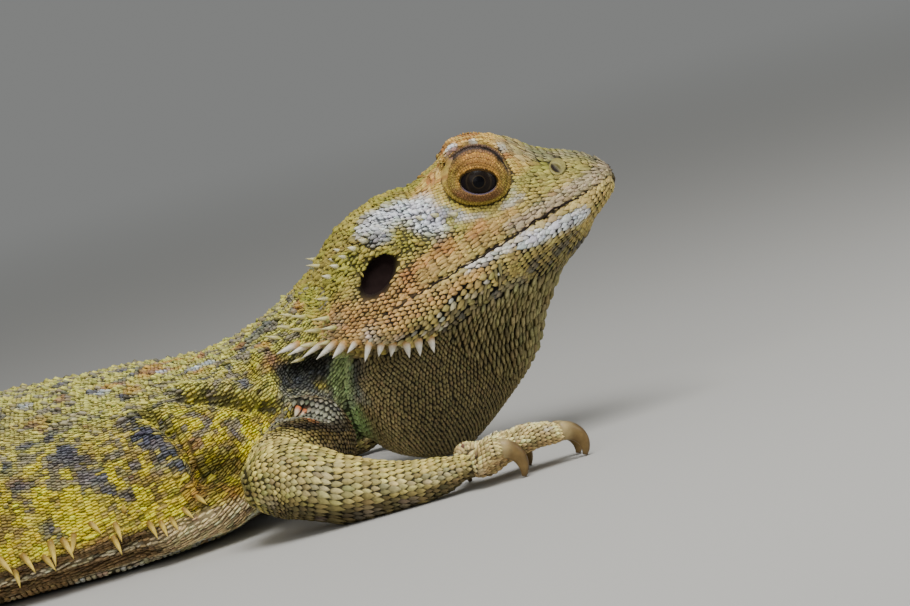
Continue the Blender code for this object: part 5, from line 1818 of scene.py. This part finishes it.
def lid_beads(hand):
    """Round scales in rings about the opening, shifted a little and made uneven."""
    groups = []
    fine = np.linspace(0, math.tau, 200)
    for number, ring in enumerate(np.arange(0.07, 1.12, 0.095)):
        path = lid_surface(hand, np.full(200, ring), fine)
        arc = np.concatenate([[0], np.cumsum(np.linalg.norm(np.diff(path, axis=0), axis=1))])
        count = int(arc[-1] / LID_BEAD)
        turn = np.interp((np.arange(count) + 0.5 * (number % 2)) * arc[-1] / count, arc, fine)

        def at(further, round_on):
            return lid_surface(hand, np.full(count, ring) + further, turn + round_on)

        way, side = unit(at(0.02, 0) - at(-0.02, 0)), unit(at(0, 0.02) - at(0, -0.02))
        length = np.linalg.norm(at(0.05, 0) - at(-0.05, 0), axis=1) * 1.05
        same = {"width": LID_BEAD, "height": 0.09, "edge": 0.4, "ring": ring,
                "share": 0.02 + 0.45 * ring + (0.5 if hand > 0 else 0)}
        same = {name: np.full(count, value) for name, value in same.items()}
        groups.append({"place": at(0, 0), "way": way, "out": np.cross(way, side) * -hand,
                       "length": length, "turn": turn / math.tau, **same})
    beads = together(groups)
    uneven = 1 + 0.18 * dice.standard_normal(len(beads["ring"]))
    return jumbled(scaled(beads, width=uneven, length=uneven), 0.09, 0.2)


eye_gloss = scale_finish("eye_gloss", 0.3, 300, 0.0,
                         Specular_IOR_Level=0.08, Coat_Weight=0.05, Coat_Roughness=0.03)
lid_edges = {}
for hand, side in SIDES:
    rim = np.linspace(0, math.tau, 73)
    lid_edges[hand] = np.abs(seen_hide(hand, *oval_place(*lid_oval(1, rim), EYE_CENTRE[::2], LID_TURN))[:, 1])
    ball = surface_piece("eye_ball_" + side, *eye_ball(hand), hand, eye_gloss, "eye_black")
    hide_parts("eye_" + side)
    surface_piece("eyelids_" + side, *lids(hand), hand, skin_finish, "skin")
beads = together([lid_beads(-1), lid_beads(1)])
add_coat("scales_eyelids", beads, lid_colour(beads["ring"], beads["turn"] * math.tau), BEAD)


# --- The ears --------------------------------------------------------------------------------
# A slightly sunk drum fills each oval opening, its dark brown deepened to nearly black as painted shade of
# the opening.

# The drum's near-black colour is its dark brown deepened by painted shade of the opening.
EAR_DRUM, DRUM_THICK, DRUM_RINGS, DRUM_SIDES = (0.018, 0.011, 0.010), 0.6, 10, 36


def dish(front, back, sides):
    """Rings out to a rim and back behind it: each point's ring and turn, and whether it is
    behind."""
    ring, turn = wheel(np.concatenate([front, back]), sides)
    return ring, turn, np.repeat(np.arange(len(front) + len(back)) >= len(front), sides)


def ear_drum(hand):
    """A thick dish, in rings of the opening's ellipse."""
    profile = np.linspace(0.02, 1.12, DRUM_RINGS)
    ring, turn, behind = dish(profile, profile[::-1], DRUM_SIDES)
    long, short = EAR_HALF_LONG * ring * np.cos(turn), EAR_HALF_SHORT * ring * np.sin(turn)
    points = seen_hide(hand, *oval_place(long, short, EAR_MIDDLE, EAR_TILT))
    points[:, 1] += hand * (0.06 - 0.8 * step_between(0.8, 1.1, ring) - DRUM_THICK * behind)
    return points, tube_faces(2 * DRUM_RINGS, DRUM_SIDES), plain(EAR_DRUM, points)


drum_finish = scale_finish("ear_drum", 0.9, 500, 0.3, Specular_IOR_Level=0.03)
for hand, side in SIDES:
    surface_piece("ear_drum_" + side, *ear_drum(hand), hand, drum_finish, "skin")


# --- The nostrils ------------------------------------------------------------------------------
# A raised round scale on each side of the snout, with an oval pit, which is painted nearly
# black as shade, most on its rear side.

NOSTRIL_OLIVE, NOSTRIL_PIT_SHADE = (0.30, 0.26, 0.085), (0.020, 0.013, 0.008)
NOSTRIL_RINGS, NOSTRIL_BACK_RINGS, NOSTRIL_SIDES, NOSTRIL_THICK = 22, 6, 32, 1.2


def nostril(hand):
    """A dome, 0.35 + 0.6 * cos(ring) mm high and sunk at its rim, less a pit: an upright oval
    behind its middle, whose depth is 0.82 * exp(-distance^3)."""
    ring, turn, behind = dish(np.linspace(0.03, 1, NOSTRIL_RINGS), np.linspace(1, 0.03, NOSTRIL_BACK_RINGS),
                              NOSTRIL_SIDES)
    ahead, above = NOSTRIL_RADIUS * ring * np.cos(turn), 0.92 * NOSTRIL_RADIUS * ring * np.sin(turn)
    points = seen_hide(hand, NOSTRIL[0] + ahead, NOSTRIL[1] + above)
    bow = ahead + 0.4 + 0.25 * above
    pit = np.exp(-(np.hypot(bow / 0.80, above / 1.15) ** 3))
    dome = 0.35 + 0.60 * np.cos(ring * math.pi / 2)
    edge = step_between(0.85, 1, ring)
    points[:, 1] += hand * (dome - 0.82 * pit - 0.8 * edge - NOSTRIL_THICK * behind)
    # Painted shade: the sunk rim a little darker, and the pit nearly black, most on its rear side.
    colour = plain(NOSTRIL_OLIVE, points) * (1 - 0.25 * edge + 0.12 * cloud(points, 0.7, 38))[:, None]
    pit_shade = 0.45 + 0.55 * (1 - step_between(-0.2, 0.4, bow))
    faces = tube_faces(NOSTRIL_RINGS + NOSTRIL_BACK_RINGS, NOSTRIL_SIDES)
    return points, faces, mixed(colour, NOSTRIL_PIT_SHADE, step_between(0.15, 0.6, pit) * pit_shade)


for hand, side in SIDES:
    surface_piece("nostril_" + side, *nostril(hand), hand, scale_horn, "skin")


# --- The claws ---------------------------------------------------------------------------------
# Hooked amber horn, paler where it leaves the digit and brown along its ridge.

CLAW_RADIUS, CLAW_CURL, CLAW_ROOT, CLAW_TIP = 1.5, math.radians(118), 0.9, 0.3
CLAW_RINGS, CLAW_SIDES = 16, 14
CLAW_PALE, CLAW_AMBER, CLAW_BROWN = (0.42, 0.32, 0.15), (0.20, 0.13, 0.048), (0.07, 0.042, 0.020)


def claw(foot, number):
    """Sections across a quarter of an ellipse that leaves the digit forwards and hooks down;
    the radius is CLAW_RADIUS * (1 - 0.75 * share^1.8)."""
    _, way, _, _, digits = FEET[foot]
    turn, reach = digits[number][2], digits[number][5]
    _, end = digit_ends(foot, number)
    share = np.linspace(0, 1, CLAW_RINGS)
    curl = share * CLAW_CURL
    top = end[2] + 0.4
    fall = (1 - np.cos(curl)) / (1 - math.cos(CLAW_CURL))
    path = end + heading(way + turn) * ((reach + CLAW_ROOT) * np.sin(curl) - CLAW_ROOT)[:, None]
    path[:, 2] = top - (top - CLAW_TIP) * fall
    side = heading(way + turn + 90)
    up = np.cross(unit(np.gradient(path, axis=0)), side)
    radius = CLAW_RADIUS * (1 - 0.75 * share**1.8)
    angle = np.arange(CLAW_SIDES) * math.tau / CLAW_SIDES
    points = (path[:, None] + side * (radius[:, None] * np.sin(angle))[..., None]
              + up[:, None] * (1.25 * radius[:, None] * np.cos(angle))[..., None]).reshape(-1, 3)
    points[:, 2] = np.maximum(points[:, 2], 0.02)
    along = np.repeat(share, CLAW_SIDES)
    ridge = np.tile(np.clip(np.cos(angle), 0, 1), CLAW_RINGS)
    colour = layered(plain(CLAW_PALE, points), (CLAW_AMBER, step_between(0.05, 0.4, along)),
                     (CLAW_BROWN, 0.8 * ridge**3 * step_between(0.1, 0.3, along)),
                     (CLAW_BROWN, 0.35 * step_between(0.75, 1, along)))
    return points, tube_faces(CLAW_RINGS, CLAW_SIDES), colour


claw_horn = scale_finish("claw_horn", 0.3, 700, 0.15, Subsurface_Weight=0.08, Subsurface_Scale=0.001)
for foot in FEET:
    for number, digit_name in enumerate(DIGIT_NAMES):
        horn = surface_piece(f"horn_{foot}_{digit_name}", *claw(foot, number), -1, claw_horn, "claw_horn")
        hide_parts(f"claw_{foot}_{digit_name}")
